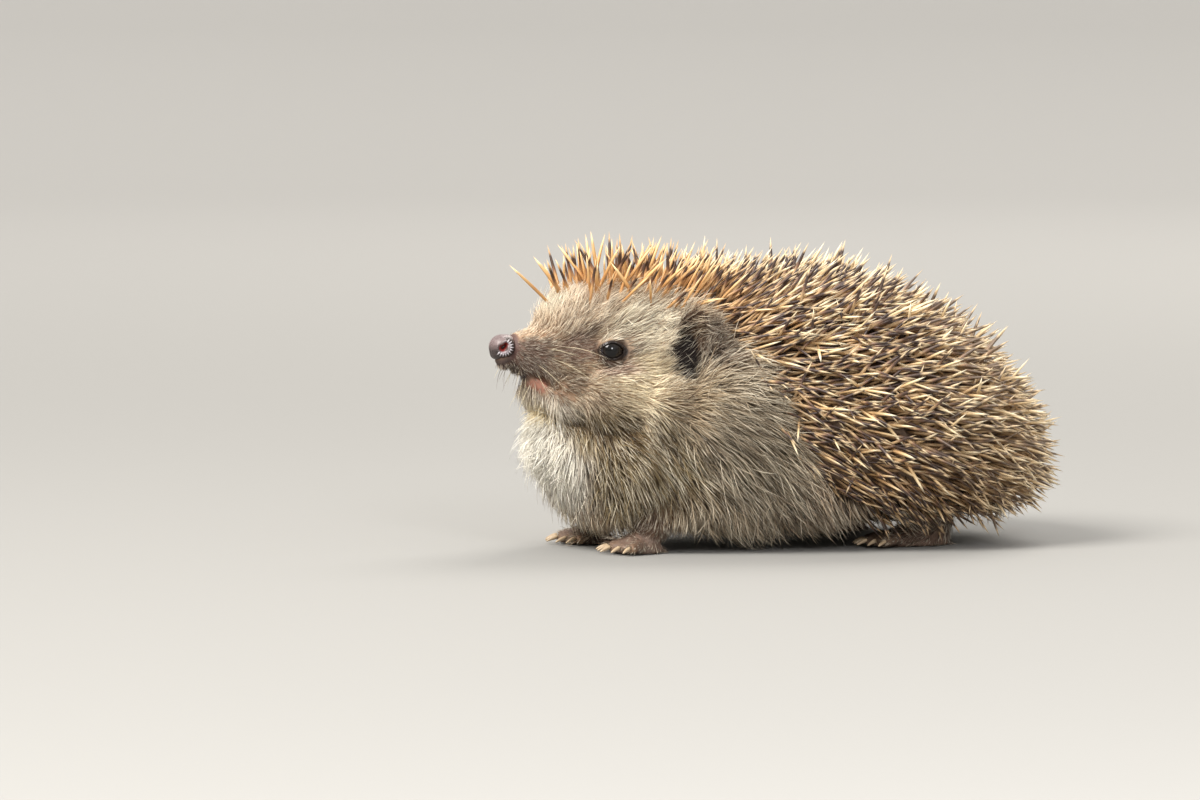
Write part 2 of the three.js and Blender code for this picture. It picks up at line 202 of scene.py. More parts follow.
skin = {
    "voxel": 0.7,            # mm, finest detail of the joined body
    "coarseShare": 0.22,     # how much of the body's mesh stays under the deep coat
    "trunk": {
        "top": [[22, 75], [30, 79.5], [40, 80.5], [72, 81], [116, 80.5], [140, 73], [160, 59.5], [173, 45],
                [182, 29]],
        "bottom": [[22, 75], [30, 62], [60, 26], [100, 9], [150, 9], [170, 12], [182, 29]],
        "half": [[22, 0], [34, 13], [50, 21], [76, 34], [94, 42], [126, 49.5], [158, 45], [174, 29],
                 [182, 0]],
        "widest": [[22, 75], [50, 60], [76, 42], [100, 33], [150, 30], [182, 29]],
        "squareness": 2.35,
    },
    "chest": {
        "top": [[18.5, 38], [21, 45], [30, 49], [44, 52], [60, 68], [90, 80], [128, 50]],
        "bottom": [[18.5, 38], [23.5, 29], [31, 20.5], [41, 13.5], [56, 9.5], [90, 8.5], [128, 30]],
        "half": [[18.5, 0], [25, 12], [36, 20.5], [50, 28], [66, 34], [84, 39], [108, 40], [128, 0]],
        "widest": [[18.5, 38], [40, 29], [62, 34], [90, 33], [128, 40]],
        "squareness": 2.2,
    },
    "head": {
        "top": [[6.8, 66.3], [8.4, 69.9], [10.6, 70.5], [13, 70.8], [18, 72.8], [23, 77], [30, 80], [42, 81],
                [60, 79], [76, 60]],
        "bottom": [[6.8, 66.3], [8.4, 59.9], [10.6, 57.4], [13, 56.6], [16.5, 55.6], [20.5, 52], [29, 47],
                   [36, 41], [48, 37.5], [62, 37], [76, 60]],
        "half": [[6.8, 0], [8.4, 4.5], [10.6, 5.9], [13, 7.0], [17, 8.9], [24, 12.2], [36, 16.2], [46, 20.5],
                 [60, 25], [76, 0]],
        "widest": [[6.8, 66.3], [12, 63.5], [24, 62.5], [46, 57], [76, 60]],
        "squareness": 2.15,
    },
    "jaw": {
        "top": [[12.4, 54.4], [14, 57.4], [18, 56.0], [24, 51.3], [33, 48], [40, 44]],
        "bottom": [[12.4, 54.4], [14.4, 51.2], [18.5, 47.4], [28, 43], [40, 44]],
        "half": [[12.4, 0], [14.4, 4.6], [18.5, 7.2], [28, 10], [40, 0]],
        "widest": [[12.4, 54.4], [15.5, 53.2], [24, 48.4], [40, 44]],
        "squareness": 2.3,
    },
    "underNose": [0, 6, 62, 3, 3.2, 2.6],  # as the rows below
    "cheekAndNeck": [  # side, back, up, and half sizes of the soft masses beside the jaw and under the ears
        [9.5, 29, 51, 6, 10, 7.6],
        [14, 43, 50, 9, 17, 11.5],
        [20, 60, 46, 12, 17, 13.5],
        [26, 74, 42, 15, 20, 20],
    ],
    # each leg: where it leaves the body, and its radius there and at the ankle
    "legs": {"forepaw": ((24, 58, 24), (9, 4.6)), "hindpaw": ((28, 142, 24), (12, 4.8))},
    "ankle": 6,              # how far it lies in front of the paw's rear end, and above the floor
    "pawInset": 0.25,
    "tailInset": 0.8,
    "tailRoot": ((0, 160, 24), (0, 172, 12), 5, 3.4),
    "passes": {"whole": 2, "cheeks": 16, "deep": 30, "joins": 24},  # of smoothing, by region
}


def pinnaAxes(sign):
    # out of the ear's bowl, along its width and up its height
    outward = Vector((sign * 0.80, -0.58, 0.12)).normalized()
    height = Vector((sign * 0.10, 0.22, 1)).normalized()
    height = (height - outward * height.dot(outward)).normalized()
    return outward, height.cross(outward), height


ear = {"height": 23, "width": 15.5, "bowl": 4.6, "wall": 1.7, "inward": 1.2, "backward": 0.6}


def earCentre(sign):
    return boxMiddle("ear_" + sideNames[sign]) + Vector((-sign * ear["inward"], ear["backward"], 0)) * mm


def addEar(bm, sign):
    centre = earCentre(sign)
    outward, width, height = pinnaAxes(sign)
    made = bmesh.ops.create_uvsphere(bm, u_segments=40, v_segments=32, radius=1)
    for vert in made["verts"]:
        depth, across, rise = vert.co.x, vert.co.y, vert.co.z
        rim = math.hypot(across, rise)
        bowl = -ear["bowl"] * (1 - rim ** 2)  # how far the sheet lies behind the rim
        layer = ear["wall"] / 2 * depth
        tall = ear["height"] / 2 * (1 - 0.1 * across)
        flare = 1 + 0.06 * rise
        vert.co = centre + (outward * (bowl + layer) + width * (across * ear["width"] / 2 * flare)
                            + height * (rise * tall)) * mm


def makeSkin():
    bm = bmesh.new()
    for key in ("trunk", "chest", "head", "jaw"):
        addForm(bm, skin[key])
    for sign in (1, -1):
        for side, back, up, wide, long, tall in [skin["underNose"]] + skin["cheekAndNeck"]:
            ball = bmesh.ops.create_uvsphere(bm, u_segments=32, v_segments=24, radius=1)
            for vert in ball["verts"]:
                x, y, z = vert.co
                vert.co = place(sign * side + x * wide, back + y * long, up + z * tall)
        addEar(bm, sign)
    for sign, sideName in sideNames.items():
        for paw, ((side, back, up), radii) in skin["legs"].items():
            low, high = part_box(f"{paw}_{sideName}")
            ankle = Vector(((low.x + high.x) / 2, high.y - skin["ankle"] * mm, skin["ankle"] * mm))
            addLimb(bm, place(sign * side, back, up), ankle, *radii)
            addNodeCopy(bm, f"{paw}_{sideName}", inset=skin["pawInset"])
    addNodeCopy(bm, "tail", inset=skin["tailInset"])
    start, end, *radii = skin["tailRoot"]
    addLimb(bm, place(*start), place(*end), *radii)
    piece = newPiece("skin", bm)
    remesh = piece.modifiers.new("oneSkin", "REMESH")
    remesh.mode = "VOXEL"
    remesh.voxel_size = skin["voxel"] * mm
    applyModifiers(piece)
    print("skin joined:", len(piece.data.vertices), "vertices")
    return piece


skinPiece = makeSkin()


def smoothVerts(bm, verts, passes):
    for _ in range(passes):
        bmesh.ops.smooth_vert(bm, verts=verts, factor=0.5, use_axis_x=True, use_axis_y=True, use_axis_z=True)


def smoothSkin(piece):
    # the deep coat's ground is smoothed a lot, the face and feet a little
    bm = bmesh.new()
    bm.from_mesh(piece.data)
    passes = skin["passes"]
    smoothVerts(bm, bm.verts, passes["whole"])
    deep, cheeks, joins = [], [], []
    for vert in bm.verts:
        side, back, up = ownPlaces(np.array(vert.co))
        face = back < 44 and up > 43
        nearEar = 50 < back < 72 and abs(side) > 18 and 52 < up < 84
        if not face and not nearEar and up > 13:
            deep.append(vert)
        elif abs(side) > 7 and 22 < back < 50 and 40 < up < 62 and not nearEar:
            cheeks.append(vert)
        if abs(side) > 9 and 38 < back < 52 and 38 < up < 80 and not nearEar and (
                abs(up - 65) > 7 or back > 44):
            joins.append(vert)
    smoothVerts(bm, cheeks, passes["cheeks"])
    smoothVerts(bm, deep, passes["deep"])
    smoothVerts(bm, joins, passes["joins"])
    bm.to_mesh(piece.data)
    bm.free()


smoothSkin(skinPiece)


def thinOut(piece):
    # fewer faces under the deep coat
    group = piece.vertex_groups.new(name="coarse")
    where = ownPlaces(vertexPlaces(piece.data))
    face = (where[:, 1] < 46) & (where[:, 2] > 40)
    ears = (where[:, 1] > 50) & (where[:, 1] < 72) & (abs(where[:, 0]) > 17) & (where[:, 2] > 52)
    feet = where[:, 2] < 9.5
    coarse = np.nonzero(~(face | ears | feet))[0]
    group.add(coarse.tolist(), 1.0, "REPLACE")
    thin = piece.modifiers.new("thin", "DECIMATE")
    thin.ratio = 1 - (1 - skin["coarseShare"]) * len(coarse) / len(where)
    thin.vertex_group = group.name
    thin.vertex_group_factor = 1.0
    applyModifiers(piece)
    piece.vertex_groups.clear()
    print("skin thinned:", len(piece.data.vertices), "vertices")


thinOut(skinPiece)

eye = {
    "radius": 3.9,
    "gaze": (0.93, -0.36, 0.08),
    "opening": (3.8, 2.65),  # half length and half height of the gap between the lids
    "openingBack": 0.6,      # how far the gap lies behind the middle of the ball
    "tilt": 5,               # degrees, the rear corner lower
    "rimHeight": 0.5,
    "behindLids": 1.3,       # how far inside the ball the skin passes behind it
    "lidFlat": 3.7,          # the lid follows the ball up to here, and meets the face at lidReach
    "lidReach": 7.2,
    "fold": (5.3, 0.5, 0.35),  # how far out the fold round the lids is, its width and its depth
    "darkSpread": 0.45,      # of the lid rim's dark skin, in shares of the opening
    "bareEdge": (0.7, 0.8),  # the lids' hairless edge, in length and height
}


def eyeAxes(sign):
    gaze = Vector((sign * eye["gaze"][0], eye["gaze"][1], eye["gaze"][2])).normalized()
    backward = Vector((0, 1, 0))
    backward = (backward - gaze * backward.dot(gaze)).normalized()
    upward = Vector((0, 0, 1))
    upward = (upward - gaze * upward.dot(gaze) - backward * upward.dot(backward)).normalized()
    turn = math.radians(eye["tilt"])
    return (gaze, backward * math.cos(turn) - upward * math.sin(turn),
            upward * math.cos(turn) + backward * math.sin(turn))


def eyeCentre(sign):
    return boxMiddle("eye_" + sideNames[sign])


def refine(piece, spots, passes):
    # smaller faces within a reach of each spot
    bm = bmesh.new()
    bm.from_mesh(piece.data)
    for reach in passes:
        edges = [edge for edge in bm.edges if any(
            ((edge.verts[0].co + edge.verts[1].co) / 2 - spot).length < reach * mm for spot in spots)]
        bmesh.ops.subdivide_edges(bm, edges=edges, cuts=1, use_grid_fill=True, smooth=0)
    bmesh.ops.triangulate(bm, faces=[face for face in bm.faces if len(face.verts) > 4])
    bm.to_mesh(piece.data)
    bm.free()


refine(skinPiece, [eyeCentre(1), eyeCentre(-1)], (9, 6.5))


def shapeLids(piece):
    # each lid lies on the ball, its rim stands a little proud, and the skin runs in behind the ball
    points = vertexPlaces(piece.data)
    rim = np.zeros(len(points))
    for sign in (1, -1):
        centre = np.array(eyeCentre(sign))
        gaze, backward, upward = (np.array(axis) for axis in eyeAxes(sign))
        away = (points - centre) / mm
        depth = away @ gaze
        along, across = away @ backward, away @ upward
        reach = np.hypot(along, across)
        near = (reach < eye["lidReach"]) & (depth > -3.5)
        length, height = eye["opening"]
        along = along - eye["openingBack"]
        corner = np.abs(along / length) ** 1.5 + np.abs(across / height) ** 1.7
        ratio = corner ** (1 / 1.6)
        ball = eye["radius"]
        inside = np.sqrt(np.clip((ball - eye["behindLids"]) ** 2 - reach ** 2, 0.2, None))
        lid = np.sqrt(np.clip((ball + eye["rimHeight"]) ** 2 - reach ** 2, 0.5, None))
        foldReach, foldWidth, foldDepth = eye["fold"]
        fold = -foldDepth * np.exp(-((reach - foldReach) / foldWidth) ** 2)
        leave = smoothStep(eye["lidFlat"], eye["lidReach"], reach)
        outside = lid * (1 - leave) + depth * leave + fold
        enter = smoothStep(0.86, 1.0, ratio)
        target = inside * (1 - enter) + outside * enter
        points[near] += ((target - depth)[:, None] * gaze * mm)[near]
        dark = np.clip(1 - np.abs(ratio - 1.0) / eye["darkSpread"], 0, 1)
        dark = np.maximum(dark, (ratio < 1) * 1.0)
        rim[near] = np.maximum(rim[near], dark[near])
    setVertexPlaces(piece.data, points)
    addValues(piece.data, "lidRim", rim)


shapeLids(skinPiece)

mouthLine = {
    "path": [[10.6, 57.2], [12, 58], [14.5, 57.4], [17, 56], [20, 52.8], [24, 50], [28.6, 47.8]],  # back, up
    "depth": 1.1,
    "width": 0.55,
    "fade": (0.92, 0.5),        # where along the line the fold is gone, and where it is whole
    "lip": (1.5, 0.8, 0.45),    # how far from the line the lip is fullest, its width and its height
    "fine": [(5, 12.5, 57.5), (6, 17, 55), (8, 22, 51.5), (9, 27, 48.5)],  # smaller faces here
    "fineReach": 4.2,
}


def mouthGap(where):
    # how far each place is from the line between the lips, and how far along it
    path = np.array(mouthLine["path"], float)
    best, along = np.full(len(where), 99.0), np.zeros(len(where))
    for i, (start, end) in enumerate(zip(path, path[1:])):
        run = end - start
        share = np.clip(((where[:, 1:] - start) @ run) / (run @ run), 0, 1)
        gap = np.linalg.norm(where[:, 1:] - start - share[:, None] * run, axis=1)
        closer = gap < best
        best[closer], along[closer] = gap[closer], (i + share[closer]) / (len(path) - 1)
    return best, along


def underMouth(where):
    return where[:, 2] < np.interp(where[:, 1], *np.array(mouthLine["path"]).T)


def shapeMouth(piece):
    # a fold between the lips, with the lower lip a little full
    points, normals = vertexPlaces(piece.data), vertexNormals(piece.data)
    where = ownPlaces(points)
    gap, along = mouthGap(where)
    front = (where[:, 1] < 31) & (np.abs(where[:, 0]) < 16) & (normals[:, 2] < 0.75)
    fade = smoothStep(*mouthLine["fade"], along)
    fold = mouthLine["depth"] * np.exp(-(gap / mouthLine["width"]) ** 2) * fade
    below = underMouth(where)
    lipGap, lipWidth, lipHeight = mouthLine["lip"]
    fold -= lipHeight * np.exp(-((gap - lipGap) / lipWidth) ** 2) * fade * (0.4 + 0.6 * below)
    points[front] -= (normals * fold[:, None] * mm)[front]
    setVertexPlaces(piece.data, points)


refine(skinPiece, [place(sign * side, back, up) for sign in (1, -1) for side, back, up in mouthLine["fine"]],
       [mouthLine["fineReach"]])
shapeMouth(skinPiece)


def settleFeet(piece):
    # nothing of the skin is under the floor
    points = vertexPlaces(piece.data)
    points[:, 2] = np.maximum(points[:, 2], 0.02 * mm)
    setVertexPlaces(piece.data, points)


settleFeet(skinPiece)


def unwrapSkin(piece):
    piece.data.uv_layers.new(name="OFBake")
    bpy.context.view_layer.objects.active = piece
    piece.select_set(True)
    bpy.ops.object.mode_set(mode="EDIT")
    bpy.ops.mesh.select_all(action="SELECT")
    bpy.ops.uv.smart_project(angle_limit=math.radians(72), island_margin=0.002)
    bpy.ops.object.mode_set(mode="OBJECT")
    piece.select_set(False)
    piece.data.shade_smooth()
    print("skin unwrapped")


unwrapSkin(skinPiece)
for node in ("mantle", "trunk", "neck", "head", "muzzle", "lower_jaw", "tail"):
    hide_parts(node)
for side in ("left", "right"):
    for node in ("ear", "foreleg", "hindleg", "forepaw", "hindpaw"):
        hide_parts(f"{node}_{side}")
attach(skinPiece, "root")

# Each row of a combing table: side, back, up, then the way the hair lies (side, back, up),
# its length in mm, its lift from the skin in degrees, and how far it gathers into locks.
furGuides = [
    [0, 8, 70, 0, 1, 0.3, 2, 18, 0],
    [0, 14, 71, 0, 1, 0.3, 2.8, 24, 0.2],
    [0, 6, 60, 0, 0.5, -0.8, 2.2, 30, 0.2],
    [6, 12, 64, 0.2, 1, -0.3, 2.9, 22, 0.2],
    [11, 29, 52, 0.3, 0.95, -0.4, 6, 16, 0.3],
    [8, 18, 66, 0.25, 1, -0.1, 3.6, 22, 0.3],
    [6, 16, 59, 0.2, 0.8, -0.6, 3.4, 24, 0.3],
    [9, 24, 54, 0.3, 1, -0.4, 4, 18, 0.2],
    [0, 18, 74, 0, 0.1, 1, 5.5, 34, 0.3],
    [0, 20, 75, 0, -0.2, 1, 9, 36, 0.6],
    [8, 23, 75, 0.35, -0.1, 0.95, 9, 36, 0.6],
    [6, 27, 79, 0.3, 0.1, 1, 10, 55, 0.4],
    [8, 46, 81, 0.3, 0.3, 1, 11, 50, 0.4],
    [9, 26, 72, 0.3, 0.5, 0.8, 5.5, 28, 0.3],
    [13, 31, 74, 0.3, 0.7, 0.7, 9, 26, 0.4],
    [14, 40, 76, 0.3, 0.75, 0.65, 11.5, 30, 0.5],
    [11, 27, 65, 0.25, 1, 0.15, 3, 16, 0.1],
    [16, 30, 66, 0.4, 0.9, 0.3, 2.4, 12, 0],
    [17, 43, 66, 0.35, 1, 0.12, 6, 16, 0.3],
    [15, 33, 58, 0.3, 1, -0.35, 5, 16, 0.3],
    [18, 42, 56, 0.3, 0.95, -0.35, 8, 18, 0.4],
    [20, 48, 48, 0.25, 0.9, -0.5, 10, 20, 0.5],
    [22, 52, 69, 0.3, 0.7, 0.55, 6, 22, 0.4],
    [22, 56, 77, 0.3, 0.8, 0.55, 12.5, 28, 0.5],
    [26, 66, 52, 0.2, 0.9, -0.35, 12, 20, 0.5],
    [31, 60, 70, 0.4, 0.7, 0.6, 5, 40, 0.2],
    [31, 58, 62, 0.4, 0.6, 0.6, 6, 40, 0.3],
    [24, 52, 61, 0.35, 0.6, 0.6, 5, 22, 0.4],
    [24, 53, 54, 0.35, 0.7, 0.3, 5.5, 20, 0.4],
    [18, 45, 66, 0.35, 0.95, 0.3, 7.5, 18, 0.4],
    [26, 68, 72, 0.3, 0.9, 0.1, 9, 22, 0.4],
    [3, 15, 50, 0.1, -0.2, -0.95, 6.5, 34, 0.3],
    [7, 21, 46, 0.2, 0.4, -0.9, 8, 28, 0.4],
    [0, 21, 44, 0, -0.7, -0.6, 10, 40, 0.5],
    [8, 28, 44, 0.3, 0.3, -0.9, 9, 28, 0.5],
    [0, 20, 34, 0, -0.75, -0.6, 12, 42, 0.8],
    [10, 22, 34, 0.25, -0.55, -0.7, 12.5, 36, 0.8],
    [0, 30, 20, 0, -0.35, -0.95, 12, 34, 0.7],
    [16, 28, 36, 0.35, 0.1, -0.9, 13, 26, 0.7],
    [20, 38, 16, 0.3, 0.05, -0.95, 16, 40, 0.7],
    [8, 38, 12, 0.1, 0.1, -1, 13, 55, 0.6],
    [0, 34, 17, 0, 0, -1, 14, 50, 0.6],
    [14, 34, 14, 0.3, 0, -1, 13.5, 50, 0.6],
    [30, 64, 9.5, 0.5, 0.2, -0.9, 13, 50, 0.6],
    [34, 104, 9.5, 0.5, 0.3, -0.9, 12, 50, 0.6],
    [24, 40, 26, 0.35, 0.35, -0.85, 16, 28, 0.7],
    [26, 46, 38, 0.3, 0.75, -0.6, 16, 24, 0.7],
    [33, 62, 46, 0.25, 0.95, -0.3, 17, 24, 0.7],
    [34, 70, 60, 0.25, 1, -0.05, 16, 26, 0.7],
    [36, 66, 28, 0.3, 0.7, -0.65, 17, 26, 0.7],
    [34, 70, 14, 0.35, 0.3, -0.95, 16.5, 44, 0.7],
    [42, 88, 30, 0.3, 0.75, -0.6, 17, 26, 0.7],
    [42, 96, 14, 0.35, 0.4, -0.95, 16, 44, 0.7],
    [40, 130, 12, 0.5, 0.4, -0.9, 14, 36, 0.7],
    [34, 160, 14, 0.4, 0.5, -0.9, 13, 34, 0.7],
    [0, 180, 20, 0, 0.7, -0.75, 11, 30, 0.6],
    [0, 50, 9, 0, 0.6, -0.5, 8, 26, 0.5],
    [0, 100, 9, 0, 1, -0.4, 8, 26, 0.5],
    [0, 150, 9, 0, 1, -0.4, 8, 26, 0.5],
    [22, 50, 18, 0.2, 0.3, -0.9, 6, 18, 0.4],
    [21, 46, 7, 0.05, -0.9, -0.3, 2.6, 16, 0.1],
    [20, 38, 4, 0.05, -0.9, -0.2, 1.6, 12, 0],
    [21, 53, 6, 0.1, 0, -1, 4.5, 16, 0.3],
    [20, 33, 3, 0.05, -0.9, -0.2, 1.2, 10, 0],
    [30, 150, 16, 0.2, 0.1, -0.9, 7, 18, 0.4],
    [31, 138, 8, 0.05, -0.9, -0.3, 2.6, 16, 0.1],
    [31, 126, 4, 0.05, -0.9, -0.2, 1.6, 12, 0],
    [31, 120, 3, 0.05, -0.9, -0.2, 1.2, 10, 0],
    [30, 150, 6, 0.1, 0, -1, 5, 16, 0.3],
    [0, 172, 12, 0, 1, -0.8, 2.5, 16, 0.2],
]

# side, back, up, then the way the spine points, its length and how far it strays
spineGuides = [
    [0, 22, 77, 0, -0.92, 0.5, 22.5, 0.24],
    [7, 24, 76, 0.4, -0.7, 0.65, 20.5, 0.3],
    [0, 27, 79, 0, -0.45, 0.88, 21.5, 0.32],
    [10, 30, 78, 0.5, -0.15, 0.85, 19.5, 0.34],
    [0, 34, 80, 0, -0.05, 1, 22, 0.32],
    [0, 44, 81, 0, 0.15, 1, 21.5, 0.34],
    [13, 44, 79, 0.6, 0.25, 0.8, 19.5, 0.38],
    [0, 62, 81, 0, 0.5, 0.87, 20.5, 0.38],
    [22, 62, 76, 0.6, 0.7, 0.45, 17, 0.34],
    [0, 90, 82, 0, 0.76, 0.65, 18.5, 0.4],
    [30, 84, 72, 0.5, 0.85, 0.2, 19.5, 0.38],
    [40, 88, 52, 0.45, 0.88, -0.1, 18, 0.38],
    [42, 100, 28, 0.5, 0.75, -0.45, 15, 0.36],
    [0, 120, 80, 0, 0.86, 0.5, 19, 0.44],
    [34, 120, 71, 0.5, 0.84, 0.18, 20, 0.44],
    [49, 122, 42, 0.6, 0.8, -0.12, 19.5, 0.4],
    [44, 122, 18, 0.55, 0.65, -0.5, 14, 0.34],
    [0, 150, 67, 0, 1, 0.02, 19, 0.48],
    [34, 150, 55, 0.45, 0.9, -0.12, 19, 0.48],
    [38, 154, 24, 0.55, 0.75, -0.35, 15, 0.38],
    [0, 172, 46, 0, 0.92, -0.3, 18.5, 0.46],
    [22, 172, 36, 0.35, 0.9, -0.25, 17.5, 0.46],
    [0, 180, 28, 0, 0.95, -0.2, 14, 0.36],
]

# where the spines end and the fur begins, seen from the side: back, up
spineEdge = [[16, 99], [21, 81], [25, 77.5], [34, 76.5], [58, 75], [68, 71], [75, 60], [80, 46], [90, 30],
             [104, 18], [120, 13], [150, 13], [172, 18], [184, 24], [190, 24]]

# side, back, up and reach of the place with no hair round the nose pad
barePad = [0, 3, 67.4, 6.7]


def fieldAt(table, where):
    # the rows of a table blended at each place, nearer rows counting far more
    table = np.array(table, float)
    query = np.column_stack([np.abs(where[:, 0]), where[:, 1], where[:, 2]])
    total = np.zeros(len(where))
    out = np.zeros((len(where), table.shape[1] - 3))
    for row in table:
        weight = (((query - row[:3]) ** 2).sum(1) + 9.0) ** -2.2
        out += weight[:, None] * row[3:]
        total += weight
    out /= total[:, None]
    out[:, 0] *= np.clip(where[:, 0] / 5, -1, 1)
    return out


def unit(vectors):
    return vectors / np.maximum(np.linalg.norm(vectors, axis=1), 1e-9)[:, None]


def skinTriangles(piece):
    mesh = piece.data
    mesh.calc_loop_triangles()
    count = len(mesh.loop_triangles)
    corners = np.empty(count * 3, np.int32)
    mesh.loop_triangles.foreach_get("vertices", corners)
    loops = np.empty(count * 3, np.int32)
    mesh.loop_triangles.foreach_get("loops", loops)
    uv = np.empty(len(mesh.loops) * 2, np.float32)
    mesh.uv_layers["OFBake"].data.foreach_get("uv", uv)
    points, normals = vertexPlaces(mesh), vertexNormals(mesh)
    corners = corners.reshape(-1, 3)
    return {"points": points[corners], "normals": normals[corners],
            "uv": uv.reshape(-1, 2)[loops.reshape(-1, 3)].astype(float)}


ground = skinTriangles(skinPiece)
ground["middle"] = ownPlaces(ground["points"].mean(axis=1))
ground["edges"] = ground["points"][:, 1:] - ground["points"][:, :1]
ground["area"] = np.linalg.norm(np.cross(ground["edges"][:, 0], ground["edges"][:, 1]), axis=1) / 2 / mm ** 2
ground["out"] = unit(ground["normals"].mean(axis=1))


def scatter(density, seed):
    # random roots on the skin, density in hairs to the square millimetre for each triangle
    chance = np.random.default_rng(seed)
    share = ground["area"] * density
    count = int(share.sum())
    picked = np.searchsorted(np.cumsum(share), chance.random(count) * share.sum())
    picked = np.minimum(picked, len(share) - 1)
    first, second = chance.random(count), chance.random(count)
    fold = first + second > 1
    first[fold], second[fold] = 1 - first[fold], 1 - second[fold]
    weights = np.column_stack([1 - first - second, first, second])[:, :, None]
    return {
        "at": (ground["points"][picked] * weights).sum(1),
        "out": unit((ground["normals"][picked] * weights).sum(1)),
        "uv": (ground["uv"][picked] * weights).sum(1),
    }


def keep(roots, chosen):
    return {key: value[chosen] for key, value in roots.items()}


def spread(roots, gap):
    # drops each root that is nearer than the gap, in mm, to one already kept
    cells = {}
    kept = []
    steps = list(itertools.product((-1, 0, 1), repeat=3))
    for i, (x, y, z) in enumerate(roots["at"] / (gap * mm)):
        cell = (math.floor(x), math.floor(y), math.floor(z))
        around = [tuple(here + step for here, step in zip(cell, away)) for away in steps]
        near = (other for beside in around for other in cells.get(beside, ()))
        if all((ox - x) ** 2 + (oy - y) ** 2 + (oz - z) ** 2 >= 1 for ox, oy, oz in near):
            cells.setdefault(cell, []).append((x, y, z))
            kept.append(i)
    return keep(roots, np.array(kept))


def grow(roots, start, end, length, rings, droop, wave, seed):
    # the middle line of each hair: it leaves the skin along start and turns towards end
    chance = np.random.default_rng(seed)
    count = len(roots["at"])
    phase = chance.random((count, 2)) * 2 * math.pi
    sideways = unit(np.cross(end, roots["out"]))
    line = [roots["at"] - roots["out"] * 0.5 * mm]
    for ring in range(1, rings + 1):
        turn = (ring - 0.5) / rings
        direction = unit(start * (1 - turn) + end * turn)
        direction[:, 2] -= droop * turn
        swing = wave * np.sin(phase[:, 0] + turn * 5)
        lift = wave * 0.7 * np.sin(phase[:, 1] + turn * 4)
        direction = unit(direction + sideways * swing[:, None] + roots["out"] * lift[:, None])
        line.append(line[-1] + direction * (length / rings * mm)[:, None])
    return np.stack(line, axis=1)


def gather(line, size, pull, seed):
    # hairs draw towards the nearest lock, most of all at their tips
    chance = np.random.default_rng(seed)
    count = len(line)
    leaders = chance.choice(count, max(1, int(count / size)), replace=False)
    tree = KDTree(len(leaders))
    for i, leader in enumerate(leaders):
        tree.insert(line[leader, 0], i)
    tree.balance()
    nearest = np.array([leaders[tree.find(root)[1]] for root in line[:, 0]])
    steps = np.linspace(0, 1, line.shape[1]) ** 1.3
    strength = (pull * (0.55 + 0.45 * chance.random(count)))[:, None, None] * steps[None, :, None]
    shift = line[nearest] - line[nearest][:, :1] + line[:, :1] * 0.45 + line[nearest][:, :1] * 0.55
    return line * (1 - strength) + shift * strength


# how far above the floor every strand stays, in mm, and the size of its patch of the map
strand = {"leastHeight": 0.35, "patch": 0.003}


